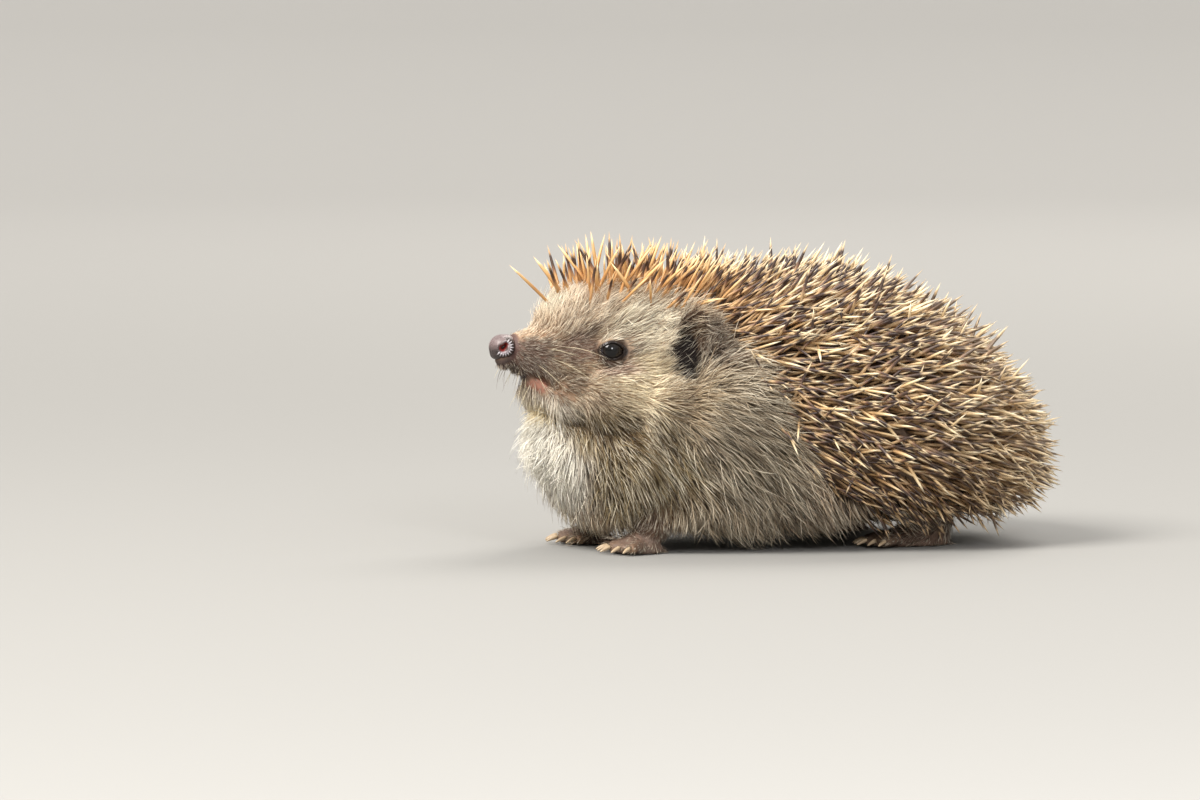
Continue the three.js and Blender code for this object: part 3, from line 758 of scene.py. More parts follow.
def makeStrands(name, roots, line, width, sides, seed, taper):
    # closed tapered hairs or spines along their middle lines, as one mesh
    chance = np.random.default_rng(seed)
    count, rings = line.shape[0], line.shape[1]
    line = line.copy()
    line[:, 1:, 2] = np.maximum(line[:, 1:, 2], strand["leastHeight"] * mm)
    run = np.gradient(line, axis=1)
    run /= np.maximum(np.linalg.norm(run, axis=2), 1e-9)[:, :, None]
    across = np.cross(run, roots["out"][:, None, :])
    across /= np.maximum(np.linalg.norm(across, axis=2), 1e-9)[:, :, None]
    rise = np.cross(run, across)
    share = np.linspace(0, 1, rings)
    half = width[:, None] / 2 * mm * np.interp(share, taper[0], taper[1])[None, :]
    half = half[:, :rings - 1]
    turn = np.arange(sides) * 2 * math.pi / sides
    ringPoints = line[:, :rings - 1, None, :] + half[:, :, None, None] * (
        across[:, :rings - 1, None, :] * np.cos(turn)[None, None, :, None]
        + rise[:, :rings - 1, None, :] * np.sin(turn)[None, None, :, None])
    body = ringPoints.reshape(count, -1, 3)
    points = np.concatenate([body, line[:, -1:, :]], axis=1)
    each = points.shape[1]
    faces = [list(range(sides - 1, -1, -1))]
    for ring in range(rings - 2):
        for j in range(sides):
            k = (j + 1) % sides
            faces.append([ring * sides + j, ring * sides + k, (ring + 1) * sides + k, (ring + 1) * sides + j])
    for j in range(sides):
        faces.append([(rings - 2) * sides + j, (rings - 2) * sides + (j + 1) % sides, each - 1])
    order = np.array([corner for face in faces for corner in face])
    sizes = np.array([len(face) for face in faces])
    allOrder = (order[None, :] + np.arange(count)[:, None] * each).ravel()
    allSizes = np.tile(sizes, count)
    starts = np.concatenate([[0], np.cumsum(allSizes)[:-1]])
    mesh = bpy.data.meshes.new(name)
    mesh.vertices.add(count * each)
    mesh.vertices.foreach_set("co", points.astype(np.float32).ravel())
    mesh.loops.add(len(allOrder))
    mesh.loops.foreach_set("vertex_index", allOrder.astype(np.int32))
    mesh.polygons.add(len(allSizes))
    mesh.polygons.foreach_set("loop_start", starts.astype(np.int32))
    mesh.polygons.foreach_set("use_smooth", np.ones(len(allSizes), bool))
    mesh.update(calc_edges=True)
    along = np.concatenate([np.repeat(share[:rings - 1], sides), [1.0]])
    around = np.concatenate([np.tile(np.arange(sides) / sides, rings - 1), [0.5]])
    addValues(mesh, "along", np.tile(along, count))
    addValues(mesh, "shade", np.repeat(chance.random(count), each))
    mesh.attributes.new("rootPlace", "FLOAT_VECTOR", "POINT").data.foreach_set(
        "vector", np.repeat(ownPlaces(roots["at"]), each, axis=0).astype(np.float32).ravel())
    patch = np.column_stack([around - 0.5, along - 0.5])[None] * strand["patch"] + roots["uv"][:, None, :]
    patch = patch.reshape(-1, 2)[allOrder]
    mesh.uv_layers.new(name="OFBake").data.foreach_set("uv", patch.astype(np.float32).ravel())
    piece = bpy.data.objects.new(name, mesh)
    bpy.context.scene.collection.objects.link(piece)
    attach(piece, "root")
    print(f"{name}: {count} strands, {(allSizes - 2).sum()} triangles")
    return piece


def overSpineEdge(where):
    # how far, in mm, a place lies above the edge of the spines
    edge = np.array(spineEdge, float)
    return where[:, 2] - np.interp(where[:, 1], edge[:, 0], edge[:, 1])


spineLook = {
    "thick": 2.6,                # tries to the square mm, before those nearer than the gap are dropped
    "gap": 1.72,
    "width": 1.14,
    "taper": ([0, 0.08, 0.35, 0.72, 0.9, 1], [0.7, 0.85, 1.0, 0.92, 0.5, 0.0]),
    "earPlace": (27, 61),        # no spines grow within earReach of the ear, below earTop
    "earReach": (9, 10),
    "earTop": 79,
    "crestLeftOut": 0.16,        # share of the crest's spines that are missing
    "edgeRagged": (0.5, 1.5, 2.2),  # mm: how far in the edge lies, how ragged it is, and more so at the crest
    "leastLift": (15, 32),       # degrees
    "length": (0.8, 1.08),       # shares of the table's length
    "thickness": (0.82, 1.12),
    "partEnds": [78, 118, 146],  # back, in mm, where one piece gives way to the next
}


def growSpines():
    thick = spineLook["thick"] * min(1, quickShare + 0.3)
    roots = scatter(np.where(overSpineEdge(ground["middle"]) > -3, thick, 0.0), 11)
    roots = spread(roots, spineLook["gap"])
    where = ownPlaces(roots["at"])
    chance = np.random.default_rng(12)
    earGap = np.abs(np.abs(where[:, :2]) - spineLook["earPlace"])
    nearEar = (earGap < spineLook["earReach"]).all(axis=1) & (where[:, 2] < spineLook["earTop"])
    crest = smoothStep(80, 56, where[:, 1]) * smoothStep(70, 78, where[:, 2])
    sparse = chance.random(len(where)) < crest * spineLook["crestLeftOut"]
    inset, spreadOut, crestSpread = spineLook["edgeRagged"]
    ragged = chance.normal(inset, spreadOut, len(where))
    ragged += np.abs(chance.normal(0, crestSpread, len(where))) * crest
    roots = keep(roots, (overSpineEdge(where) > ragged) & ~nearEar & ~sparse)
    where = ownPlaces(roots["at"])
    count = len(where)
    field = fieldAt(spineGuides, where)
    aim = unit(field[:, :3])
    stray = chance.normal(0, 1, (count, 3)) * field[:, 4:5]
    aim = unit(aim + stray - roots["out"] * np.minimum((stray * roots["out"]).sum(1), 0)[:, None])
    lift = (aim * roots["out"]).sum(1)
    least = np.sin(np.radians(chance.uniform(*spineLook["leastLift"], count)))
    aim = unit(aim + roots["out"] * np.clip(least - lift, 0, None)[:, None])
    length = field[:, 3] * chance.uniform(*spineLook["length"], count)
    start, end = unit(aim + roots["out"] * 0.15), unit(aim - roots["out"] * 0.06)
    line = grow(roots, start, end, length, rings=5, droop=0.02, wave=0.012, seed=13)
    width = spineLook["width"] * chance.uniform(*spineLook["thickness"], count)
    width *= np.clip(length / 19, 0.7, 1.05)
    width *= 1 + 0.1 * smoothStep(90, 120, where[:, 1])
    parts = np.digitize(where[:, 1], spineLook["partEnds"])
    for part, name in enumerate(("spinesCrest", "spinesShoulder", "spinesBack", "spinesRump")):
        chosen = parts == part
        makeStrands(name, keep(roots, chosen), line[chosen], width[chosen], 4, 14 + part,
                    spineLook["taper"])


growSpines()


def inEarBowl(where, out):
    # 1 on the front half of the hollow of each ear
    inside = np.zeros(len(where))
    for sign in (1, -1):
        outward, width, height = (np.array(axis) for axis in pinnaAxes(sign))
        away = where - ownPlaces(np.array(earCentre(sign)))
        across, rise = sign * (away @ width) / (ear["width"] / 2), (away @ height) / (ear["height"] / 2)
        hollow = (np.hypot(across, rise) < 0.93) & (across < 0.12)
        inside = np.maximum(inside, (hollow & (np.abs(away @ outward) < 7) & (out @ outward > 0.35)) * 1.0)
    return inside


def bareness(where, out):
    # 1 where no hair grows
    *pad, reach = barePad
    bare = (((where - pad) ** 2).sum(1) < reach ** 2) * 1.0
    length, height = (half + edge for half, edge in zip(eye["opening"], eye["bareEdge"]))
    for sign in (1, -1):
        centre = ownPlaces(np.array(eyeCentre(sign)))
        gaze, backward, upward = (np.array(axis) for axis in eyeAxes(sign))
        away = where - centre
        ratio = np.hypot((away @ backward - eye["openingBack"]) / length, away @ upward / height)
        bare = np.maximum(bare, ((ratio < 1) & (np.abs(away @ gaze) < 8)) * 1.0)
    gap, along = mouthGap(where)
    line = (gap < 0.9) & (np.abs(where[:, 0]) < 14) & (where[:, 1] < 27)
    bare = np.maximum(bare, line * 1.0)
    lip = (where[:, 1] < 18.5) & (where[:, 2] > 51.6) & (gap < 3.4)
    lip &= underMouth(where)
    bare = np.maximum(bare, lip * 0.88)
    bare = np.maximum(bare, inEarBowl(where, out) * 0.8)
    return np.maximum(bare, ((where[:, 2] < 1.2) | ((where[:, 2] < 4) & (out[:, 2] < -0.3))) * 1.0)


furPieces = [  # name, hairs per square mm, width, rings, size of a lock, slot
    ("face", 7.6, 0.21, 3, 5, "face_fur"),
    ("cheeks", 4.3, 0.25, 4, 8, "face_fur"),
    ("chest", 3.0, 0.30, 5, 12, "pale_fur"),
    ("shoulders", 2.1, 0.31, 5, 12, "pale_fur"),
    ("flanks", 1.15, 0.42, 4, 12, "pale_fur"),
    ("feet", 2.9, 0.22, 3, 4, "dark_fur"),
]


def furRegion(where):
    # which part of the coat each place belongs to
    back, up, side = where[:, 1], where[:, 2], np.abs(where[:, 0])
    names = np.full(len(where), "shoulders", dtype=object)
    names[(back > 92)] = "flanks"
    names[(back < 44) & (up < 44)] = "chest"
    names[(back < 66) & (up >= 40) & (up > 44 - (back - 30) * 0.1)] = "cheeks"
    names[(back < 33) & (up >= 46)] = "face"
    names[(back < 26) & (up >= 41) & (up < 60)] = "face"
    names[(up < 12) & ((back < 62) | (back > 112)) & (side > 10)] = "feet"
    names[(up < 13) & (side < 7) & (back > 167)] = "feet"
    return names


furLook = {
    "crestShare": 0.30,      # of the fur that runs in between the spines of the crest
    "bellyShare": 0.55,
    "sway": 0.14,            # how far neighbouring hairs turn together
    "stray": 0.10,           # how far each hair turns by itself, and how much further one gone astray does
    "strayMore": 3.4,
    "astray": (0.24, 0.14),  # share of hairs gone astray, on the body and before it
    "lift": (0.7, 1.35),     # shares of the table's lift and length, and of the piece's width
    "length": (0.62, 1.12),
    "width": (0.7, 1.2),
    "liftAtRoot": 1.7,
    "liftAtTip": 0.45,
    "pull": (0.15, 0.9),     # share of the table's gathering, for hairs gone astray and for the others
    "taper": ([0, 0.25, 0.6, 1], [0.8, 1.0, 0.75, 0.0]),
}


def growFur():
    over = overSpineEdge(ground["middle"])
    bare = bareness(ground["middle"], ground["out"])
    regions = furRegion(ground["middle"])
    crest = smoothStep(70, 50, ground["middle"][:, 1]) * smoothStep(68, 76, ground["middle"][:, 2])
    allowed = (1 - smoothStep(2, 7, over)) * (1 - bare)
    allowed += crest * smoothStep(13, 4, over) * smoothStep(2, 7, over) * furLook["crestShare"]
    for number, (region, thick, width, rings, lock, slotName) in enumerate(furPieces):
        seed = 100 + number * 10
        wanted = (regions == region) * allowed
        belly = (ground["middle"][:, 2] < 15) & (ground["out"][:, 2] < -0.6)
        wanted = wanted * np.where(belly, furLook["bellyShare"], 1.0)
        roots = scatter(wanted * thick * quickShare, seed)
        where = ownPlaces(roots["at"])
        chance = np.random.default_rng(seed + 1)
        top = np.where((where[:, 1] < 66) & (where[:, 2] > 70), 14, 7)
        under = overSpineEdge(where) < chance.uniform(0, 1, len(where)) * top
        roots = keep(roots, under & (bareness(where, roots["out"]) < 0.97))
        where = ownPlaces(roots["at"])
        count = len(where)
        field = fieldAt(furGuides, where)
        sway = np.column_stack([
            np.sin(where[:, 1] * 0.31 + where[:, 2] * 0.17),
            np.sin(where[:, 2] * 0.27 + where[:, 0] * 0.21 + 1),
            np.sin(where[:, 0] * 0.23 + where[:, 1] * 0.19 + 2)]) * furLook["sway"]
        astray = chance.random(count) < np.where(where[:, 1] > 50, *furLook["astray"])
        ownTurn = chance.normal(0, furLook["stray"], (count, 3))
        lie = field[:, :3] + sway + ownTurn * np.where(astray, furLook["strayMore"], 1.0)[:, None]
        lie = unit(lie - roots["out"] * (lie * roots["out"]).sum(1)[:, None])
        lift = np.radians(field[:, 4] * chance.uniform(*furLook["lift"], count) * np.where(astray, 1.25, 1.0))
        start, end = (
            lie * np.cos(lift * share)[:, None] + roots["out"] * np.sin(lift * share)[:, None]
            for share in (furLook["liftAtRoot"], furLook["liftAtTip"]))
        length = field[:, 3] * chance.uniform(*furLook["length"], count) * np.where(astray, 1.12, 1.0)
        thin = np.clip(length / 12, 0.55, 1.1)
        wave = 0.04 if region == "face" else 0.1
        line = grow(roots, start, end, length, rings, smoothStep(5, 12, length) * 0.3, wave, seed + 2)
        line = gather(line, lock, field[:, 5] * np.where(astray, *furLook["pull"]), seed + 3)
        thickness = width * chance.uniform(*furLook["width"], count) * (0.5 + 0.5 * thin)
        for half, chosen in (("left", where[:, 0] > 0), ("right", where[:, 0] <= 0)):
            makeStrands(f"fur_{region}_{half}", keep(roots, chosen), line[chosen], thickness[chosen], 3,
                        seed + 4, furLook["taper"])


growFur()


nose = {
    "share": 0.94,                   # of the solid's size, which the pad keeps
    "backward": 0.6,                 # how far back it sits, in mm
    "fullness": 3.2,
    "nostril": (0.90, -0.26, 0.02),  # the way the middle of the left nostril lies from the pad's own middle
    "slit": ((0.91, -0.34, -0.06), (0.93, -0.02, 0.30)),
    "slitSag": -0.03,
    "slitWidth": 0.25,
    "slitDepth": 2.4,
    "ring": 0.48,                    # radius of the raised ring round the nostril, on a ball of radius 1
    "ringHeight": 0.28,
    "groove": (0.075, 0.5),          # width and depth of the groove down the front
    "underLip": ((0, -0.66, -0.75), 0.42, 0.8),  # the fuller place below: the way it lies, its reach and rise
    "teeth": 11,
    "toothFan": (52, -128),          # degrees
    "toothReach": (0.56, 1.05),
    "toothRadius": (0.27, 0.12),
    "toothLift": 1.03,
    "toothPaint": 2.0,
}


def curveGap(points, start, end, sag, steps=24):
    # how far unit places are from a short curve, and where along it they are nearest
    start, end = np.array(start), np.array(end)
    best = np.full(len(points), 9.0)
    where = np.zeros(len(points))
    for t in np.linspace(0, 1, steps):
        spot = start * (1 - t) + end * t
        spot[2] += sag * 4 * t * (1 - t)
        spot /= np.linalg.norm(spot)
        gap = np.linalg.norm(points - spot, axis=1)
        closer = gap < best
        best[closer], where[closer] = gap[closer], t
    return best, where


def nostrilAxes(sign):
    # out of the nostril, rearward and upward along the pad
    side, back, up = nose["nostril"]
    middle = Vector((sign * side, back, up)).normalized()
    rearward = Vector((0, 1, 0)) - middle * middle.y
    rearward.normalize()
    upward = Vector((0, 0, 1)) - middle * middle.z
    upward = (upward - rearward * upward.dot(rearward)).normalized()
    return middle, rearward, upward


def padFullness(back):
    # how much wider than a ball the rear half of the pad is
    back = np.clip(back, 0, 0.97)
    return (1 - back ** nose["fullness"]) ** (1 / nose["fullness"]) / np.sqrt(1 - back ** 2)


def onPad(way, centre, half):
    # the place just over the pad that lies that way from its middle
    way = way.normalized()
    full = padFullness(way.y)
    return centre + Vector((way.x * full * half.x, way.y * half.y, way.z * full * half.z)) * nose["toothLift"]


def addTooth(bm, sign, turn, centre, half):
    # one tooth of the comb round the rear of a nostril, lying on the pad
    middle, rearward, upward = nostrilAxes(sign)
    outward = rearward * math.cos(turn) + upward * math.sin(turn)
    near, far = (onPad(middle + outward * reach, centre, half) for reach in nose["toothReach"])
    spin = Vector((0, 0, 1)).rotation_difference(far - near).to_matrix().to_4x4()
    nearRadius, farRadius = (radius * mm for radius in nose["toothRadius"])
    return bmesh.ops.create_cone(
        bm, cap_ends=True, segments=10, radius1=nearRadius, radius2=farRadius, depth=(far - near).length,
        matrix=Matrix.Translation((near + far) / 2) @ spin)["verts"]


def makeNose():
    low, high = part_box("nose")
    centre = (low + high) / 2 + Vector((0, nose["backward"], 0)) * mm
    half = (high - low) / 2 * nose["share"]
    bm = bmesh.new()
    bmesh.ops.create_uvsphere(bm, u_segments=200, v_segments=128, radius=1)
    piece = newPiece("nosePad", bm)
    ball = unit(vertexPlaces(piece.data))
    inward, pit, ring, between = np.zeros((4, len(ball)))
    for sign in (1, -1):
        start, end = ([sign * side, back, up] for side, back, up in nose["slit"])
        gap, where = curveGap(ball, start, end, nose["slitSag"])
        width = nose["slitWidth"] * (1.2 - 0.55 * where)
        deep = np.exp(-(gap / width) ** 4)
        inward += nose["slitDepth"] * deep
        pit = np.maximum(pit, deep)
        axes = [np.array(axis) for axis in nostrilAxes(sign)]
        away = np.linalg.norm(ball - axes[0], axis=1)
        rearShare = smoothStep(-0.7, 0.5, (ball @ axes[1] - ball @ axes[2] * 0.3) / np.maximum(away, 0.05))
        around = np.exp(-((away - nose["ring"]) / 0.13) ** 2)
        inward -= nose["ringHeight"] * around * (0.35 + 0.65 * rearShare)
        ring = np.maximum(ring, np.exp(-((away - nose["ring"]) / 0.12) ** 4) * (0.35 + 0.65 * rearShare))
        between = np.maximum(between, np.exp(-((away - sum(nose["toothReach"]) / 2) / 0.27) ** 4) * rearShare)
    front = np.clip(-ball[:, 1] * 1.4, 0, 1)
    grooveWidth, grooveDepth = nose["groove"]
    below = np.clip(1.1 - ball[:, 2] * 1.2, 0, 1)
    inward += grooveDepth * np.exp(-(ball[:, 0] / grooveWidth) ** 2) * front * below
    way, reach, depth = nose["underLip"]
    inward -= depth * np.exp(-(np.linalg.norm(ball - unit(np.array([way])), axis=1) / reach) ** 2)
    full = padFullness(ball[:, 1])
    points = ball * np.array(half) * 0.99 * np.column_stack([full, np.ones(len(ball)), full])
    points += np.array(centre) - ball * inward[:, None] * mm
    setVertexPlaces(piece.data, points)
    for label, values in (("pit", pit), ("ring", ring * (1 - pit)), ("betweenTeeth", between * (1 - pit))):
        addValues(piece.data, label, values)
    bm = bmesh.new()
    bm.from_mesh(piece.data)
    ringLayer, betweenLayer = bm.verts.layers.float["ring"], bm.verts.layers.float["betweenTeeth"]
    for sign in (1, -1):
        for turn in np.radians(np.linspace(*nose["toothFan"], nose["teeth"])):
            for vert in addTooth(bm, sign, turn, centre, half):
                vert[ringLayer] = nose["toothPaint"]
                vert[betweenLayer] = 0.0
    bm.to_mesh(piece.data)
    bm.free()
    piece.data.shade_smooth()
    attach(piece, "root")
    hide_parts("nose")
    return piece


def makeEye(name, sign):
    bm = bmesh.new()
    bmesh.ops.create_uvsphere(bm, u_segments=64, v_segments=48, radius=eye["radius"] * mm)
    centre = eyeCentre(sign)
    gaze, backward, upward = eyeAxes(sign)
    turn = Matrix((backward, upward, gaze)).transposed().to_4x4()
    bmesh.ops.transform(bm, matrix=Matrix.Translation(centre) @ turn, verts=bm.verts)
    bmesh.ops.recalc_face_normals(bm, faces=bm.faces)
    facing, frontward = (bm.verts.layers.float.new(label) for label in ("facing", "frontward"))
    for vert in bm.verts:
        away = (vert.co - centre).normalized()
        vert[facing] = away.dot(gaze)
        vert[frontward] = -away.dot(backward)
    piece = newPiece(name, bm)
    piece.data.shade_smooth()
    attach(piece, "root")
    return piece


def makeClaws(paw, side):
    names = [f"claw_{paw}_{side}_{i}" for i in range(1, 6)]
    bm = bmesh.new()
    for name in names:
        addNodeCopy(bm, name)
    piece = newPiece(f"claws_{paw}_{side}", bm)
    smooth = piece.modifiers.new("smooth", "SUBSURF")
    smooth.levels = smooth.render_levels = 2
    applyModifiers(piece)
    piece.data.shade_smooth()
    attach(piece, "root")
    for name in names:
        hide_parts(name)
    return piece


nosePiece = makeNose()
eyePieces = [makeEye("eyeBall_left", 1), makeEye("eyeBall_right", -1)]
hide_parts("eye_left")
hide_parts("eye_right")
clawPieces = [makeClaws(paw, side) for paw in ("forepaw", "hindpaw") for side in ("left", "right")]
print("nose, eyes and claws made")

whiskerWidth = 0.15
# side, back, up of each whisker's root, the way it points, and its length
whiskerRows = [
    [6.5, 12, 64, 0.8, 0.55, -0.3, 15], [6.5, 14, 61, 0.75, 0.5, -0.5, 17],
    [7.5, 16, 66, 0.85, 0.6, 0, 18], [8, 18, 63, 0.8, 0.65, -0.3, 20],
    [8, 19, 60, 0.7, 0.6, -0.55, 18], [9, 21, 66, 0.8, 0.7, 0.05, 20],
    [9, 23, 62, 0.8, 0.7, -0.25, 21], [9, 24, 58, 0.65, 0.6, -0.6, 17],
    [6, 14, 58.5, 0.45, 0.3, -0.85, 13], [7, 18, 57, 0.45, 0.35, -0.85, 14],
    [7, 22, 54, 0.45, 0.35, -0.9, 13], [4, 15, 50.5, 0.25, -0.1, -0.95, 11],
    [5, 19, 47.5, 0.3, 0, -0.95, 12], [3, 17, 49, 0.1, -0.25, -0.95, 10],
    [6, 24, 44, 0.35, 0.1, -0.95, 12], [11, 27, 72, 0.7, 0.45, 0.55, 12],
    [12, 30, 73.5, 0.65, 0.6, 0.55, 13], [14, 40, 56, 0.85, 0.5, -0.35, 14],
]


def growWhiskers():
    surface = BVHTree.FromPolygons(
        [tuple(point) for point in ground["points"].reshape(-1, 3)],
        [(i * 3, i * 3 + 1, i * 3 + 2) for i in range(len(ground["points"]))])
    found = []
    chance = np.random.default_rng(70)
    rows = list(whiskerRows)
    for _ in range(34):  # the pale wisps under the muzzle
        back = chance.uniform(6, 24)
        rows.append([chance.uniform(0.5, 6), back, np.interp(back, [6, 11, 16, 24], [61, 55, 49, 44]),
                     chance.uniform(0, 0.4), chance.uniform(-0.75, -0.1), -0.8, chance.uniform(5, 11)])
    for sign in (1, -1):
        for side, back, up, outward, behind, rise, long in rows:
            spot, normal, nearest, _ = surface.find_nearest(place(sign * side, back, up))
            flat = ground["uv"][nearest].mean(axis=0)
            found.append((spot, normal, flat, (sign * outward, behind, rise), long))
    at, out, flat, aim, length = (np.array(column, float) for column in zip(*found))
    roots = {"at": at, "out": out, "uv": flat}
    aim = unit(aim)
    line = grow(roots, aim, unit(aim + [0, 0.25, -0.3]), length, rings=9, droop=0.25, wave=0.05, seed=71)
    return makeStrands("whiskers", roots, line, np.full(len(at), whiskerWidth), 4, 72,
                       ([0, 0.5, 1], [1.0, 0.7, 0.0]))


whiskerPiece = growWhiskers()

# Colours are red, green, blue. Each zone of the coat has a middle (side, back, up)
# and a reach along each of those, in mm; later zones lie over earlier ones.
coatBase = (206, 184, 154)
coatZones = [
    ("belly", (212, 192, 160), (0, 100, 6), (60, 60, 12)),
    ("lowerFlank", (186, 162, 134), (46, 110, 16), (26, 44, 22)),
    ("shoulder", (190, 172, 146), (38, 74, 46), (20, 24, 30)),
    # painted shadow: the side of the chest under the cheek is darker and yellower
    ("shadowOnSideOfChest", (134, 114, 76), (24, 46, 32), (15, 20, 20)),
    ("chest", (255, 252, 242), (0, 18, 29), (24, 19, 27)),
    ("chestShade", (140, 120, 80), (21, 36, 26), (9, 12, 14)),
    # painted shade: the throat under the jaw is browner
    ("shadedThroat", (186, 164, 118), (8, 36, 42), (20, 14, 9)),
    # painted shadow under the cheek
    ("shadowUnderCheek", (126, 104, 66), (19, 42, 41), (13, 17, 7)),
    ("cheek", (255, 240, 206), (20, 44, 55), (12, 13, 12)),
    ("behindCheek", (200, 178, 146), (27, 60, 50), (11, 12, 12)),
    ("temple", (255, 244, 220), (17, 45, 70), (10, 14, 9)),
    ("forehead", (236, 215, 188), (6, 26, 77), (13, 14, 9)),
    ("snout", (134, 112, 98), (0, 14, 63.5), (13, 14, 10.5)),
    ("snoutTop", (232, 208, 178), (0, 16, 71.6), (10, 10, 5.4)),
    # painted shade under the snout, where the upper jaw overhangs the mouth
    ("shadeUnderSnout", (104, 80, 62), (0, 9, 58.5), (6, 6, 4.5)),
    # painted shadow under the side of the jaw
    ("shadowOnJawSide", (134, 112, 76), (11, 28, 45), (8, 9, 5)),
    ("mouthCheek", (150, 126, 100), (10, 25, 54), (8, 10, 5)),
    ("underEye", (196, 168, 148), (15, 37, 58.5), (6, 8, 3.4)),
    ("frontOfEye", (160, 134, 116), (12, 26, 65), (6, 8, 5)),
    ("eyeMark", (124, 100, 80), (12.8, 29.5, 70), (2.6, 1.2, 2.2)),
    ("brow", (242, 232, 208), (0, 20.5, 79), (12, 6.5, 6)),
    ("chin", (252, 234, 190), (0, 18, 47), (9, 10, 4.5)),
    ("ear", (128, 108, 90), (30, 65, 67), (8, 6, 12)),
    # the ear's hollow: partly its own dark skin, partly painted shade in the hollow
    ("earHollowAndShade", (38, 26, 20), (26.5, 57.4, 64.5), (7, 5.2, 13)),
    ("frontOfEar", (150, 124, 100), (24, 52, 76.5), (7, 6, 5)),
    ("eyeRing", (104, 84, 70), (15.8, 37.2, 64.3), (6, 7.4, 4.9)),
    ("forelegs", (120, 98, 80), (21, 48, 6), (14, 18, 12)),
    ("hindlegs", (120, 98, 80), (31, 140, 6), (16, 26, 13)),
    ("tail", (132, 110, 94), (0, 174, 12), (6, 10, 7)),
]


# name, colour, middle and reach of the places on the skin that show between the hairs
barePatches = [
    ("lip", (148, 102, 84), (4, 15.8, 53.6), (6, 4, 3.2)),
    ("cornerOfMouth", (122, 90, 78), (8, 23, 51), (5, 6, 1.6)),
    # painted shade in the gap under the upper lip, in front of the lower lip
    ("shadeUnderSnout", (52, 36, 30), (0, 11.2, 56.8), (5.5, 2.3, 3.4)),
    ("roundPad", (84, 58, 52), (0, 8, 66), (7, 3.2, 7)),
    ("underPad", (62, 46, 40), (0, 5.6, 60.4), (6, 5, 3)),
    # the ear's hollow: partly its own dark skin, partly painted shade in the hollow
    ("earHollowAndShade", (24, 16, 13), (26.5, 58.5, 65.5), (8, 6.5, 13)),
    ("forefoot", (112, 92, 80), (21, 44, 2), (11, 12, 5)),
    ("hindfoot", (112, 92, 80), (30, 136, 2), (11, 18, 5)),
]


def feed(tree, socket, value):
    # a link if the value comes from another node, else the value itself
    if isinstance(value, bpy.types.NodeSocket):
        tree.links.new(value, socket)
    else:
        socket.default_value = value


def addNode(tree, kind, inputs, **settings):
    made = tree.nodes.new(kind)
    for key, value in settings.items():
        setattr(made, key, value)
    for key, value in inputs.items():
        feed(tree, made.inputs[key], value)
    return made


def calc(tree, operation, first, second=0.0):
    return addNode(tree, "ShaderNodeMath", {0: first, 1: second}, operation=operation).outputs[0]


def times(tree, first, second):
    return calc(tree, "MULTIPLY", first, second)


def vectorCalc(tree, operation, first, second=(0, 0, 0)):
    return addNode(tree, "ShaderNodeVectorMath", {0: first, 1: second}, operation=operation).outputs[0]


def distance(tree, at):
    return addNode(tree, "ShaderNodeVectorMath", {0: at}, operation="LENGTH").outputs["Value"]


def ease(tree, value, low, high, start=0.0, end=1.0):
    inputs = {"Value": value, "From Min": low, "From Max": high, "To Min": start, "To Max": end}
    return addNode(tree, "ShaderNodeMapRange", inputs, interpolation_type="SMOOTHSTEP").outputs[0]


def noise(tree, at, scale, detail, output="Fac"):
    inputs = {"Vector": at, "Scale": scale, "Detail": detail}
    return addNode(tree, "ShaderNodeTexNoise", inputs).outputs[output]


def cells(tree, at, scale):
    # how far each place is from the middle of the nearest cell
    inputs = {"Vector": at, "Scale": scale}
    return addNode(tree, "ShaderNodeTexVoronoi", inputs, feature="F1").outputs["Distance"]


def bump(tree, height, strength, depth):
    inputs = {"Strength": strength, "Distance": depth, "Height": height}
    return addNode(tree, "ShaderNodeBump", inputs).outputs[0]


def splitPlace(tree, at):
    return addNode(tree, "ShaderNodeSeparateXYZ", {0: at}).outputs


def foldSides(tree, at):
    # each place of the right side becomes its like on the left
    side, back, up = splitPlace(tree, at)
    return addNode(tree, "ShaderNodeCombineXYZ", {0: calc(tree, "ABSOLUTE", side), 1: back, 2: up}).outputs[0]


def paint(colour):
    # a colour given 0 to 255, as the renderer wants it
    return (*(((c / 255 + 0.055) / 1.055) ** 2.4 if c > 10 else c / 255 / 12.92 for c in colour), 1)


def blendColour(tree, share, first, second, kind="MIX"):
    inputs = {0: share, 6: first, 7: second}
    return addNode(tree, "ShaderNodeMix", inputs, data_type="RGBA", blend_type=kind).outputs[2]


def multiply(tree, first, second, share=1.0):
    return blendColour(tree, share, first, second, "MULTIPLY")


def dim(tree, colour, share):
    grey = addNode(tree, "ShaderNodeCombineColor", {0: share, 1: share, 2: share}).outputs[0]
    return multiply(tree, colour, grey)


def layColours(tree, colour, layers):
    # lays each colour over those before it, by its share
    for share, over in layers:
        colour = blendColour(tree, share, colour, paint(over))
    return colour


def layZones(tree, at, colour, zones, full, gone):
    # each zone is whole up to one share of its reach and has faded at another
    for _, over, middle, reach in zones:
        gap = distance(tree, vectorCalc(tree, "DIVIDE", vectorCalc(tree, "SUBTRACT", at, middle), reach))
        colour = layColours(tree, colour, [(ease(tree, gap, full, gone, 1.0, 0.0), over)])
    return colour


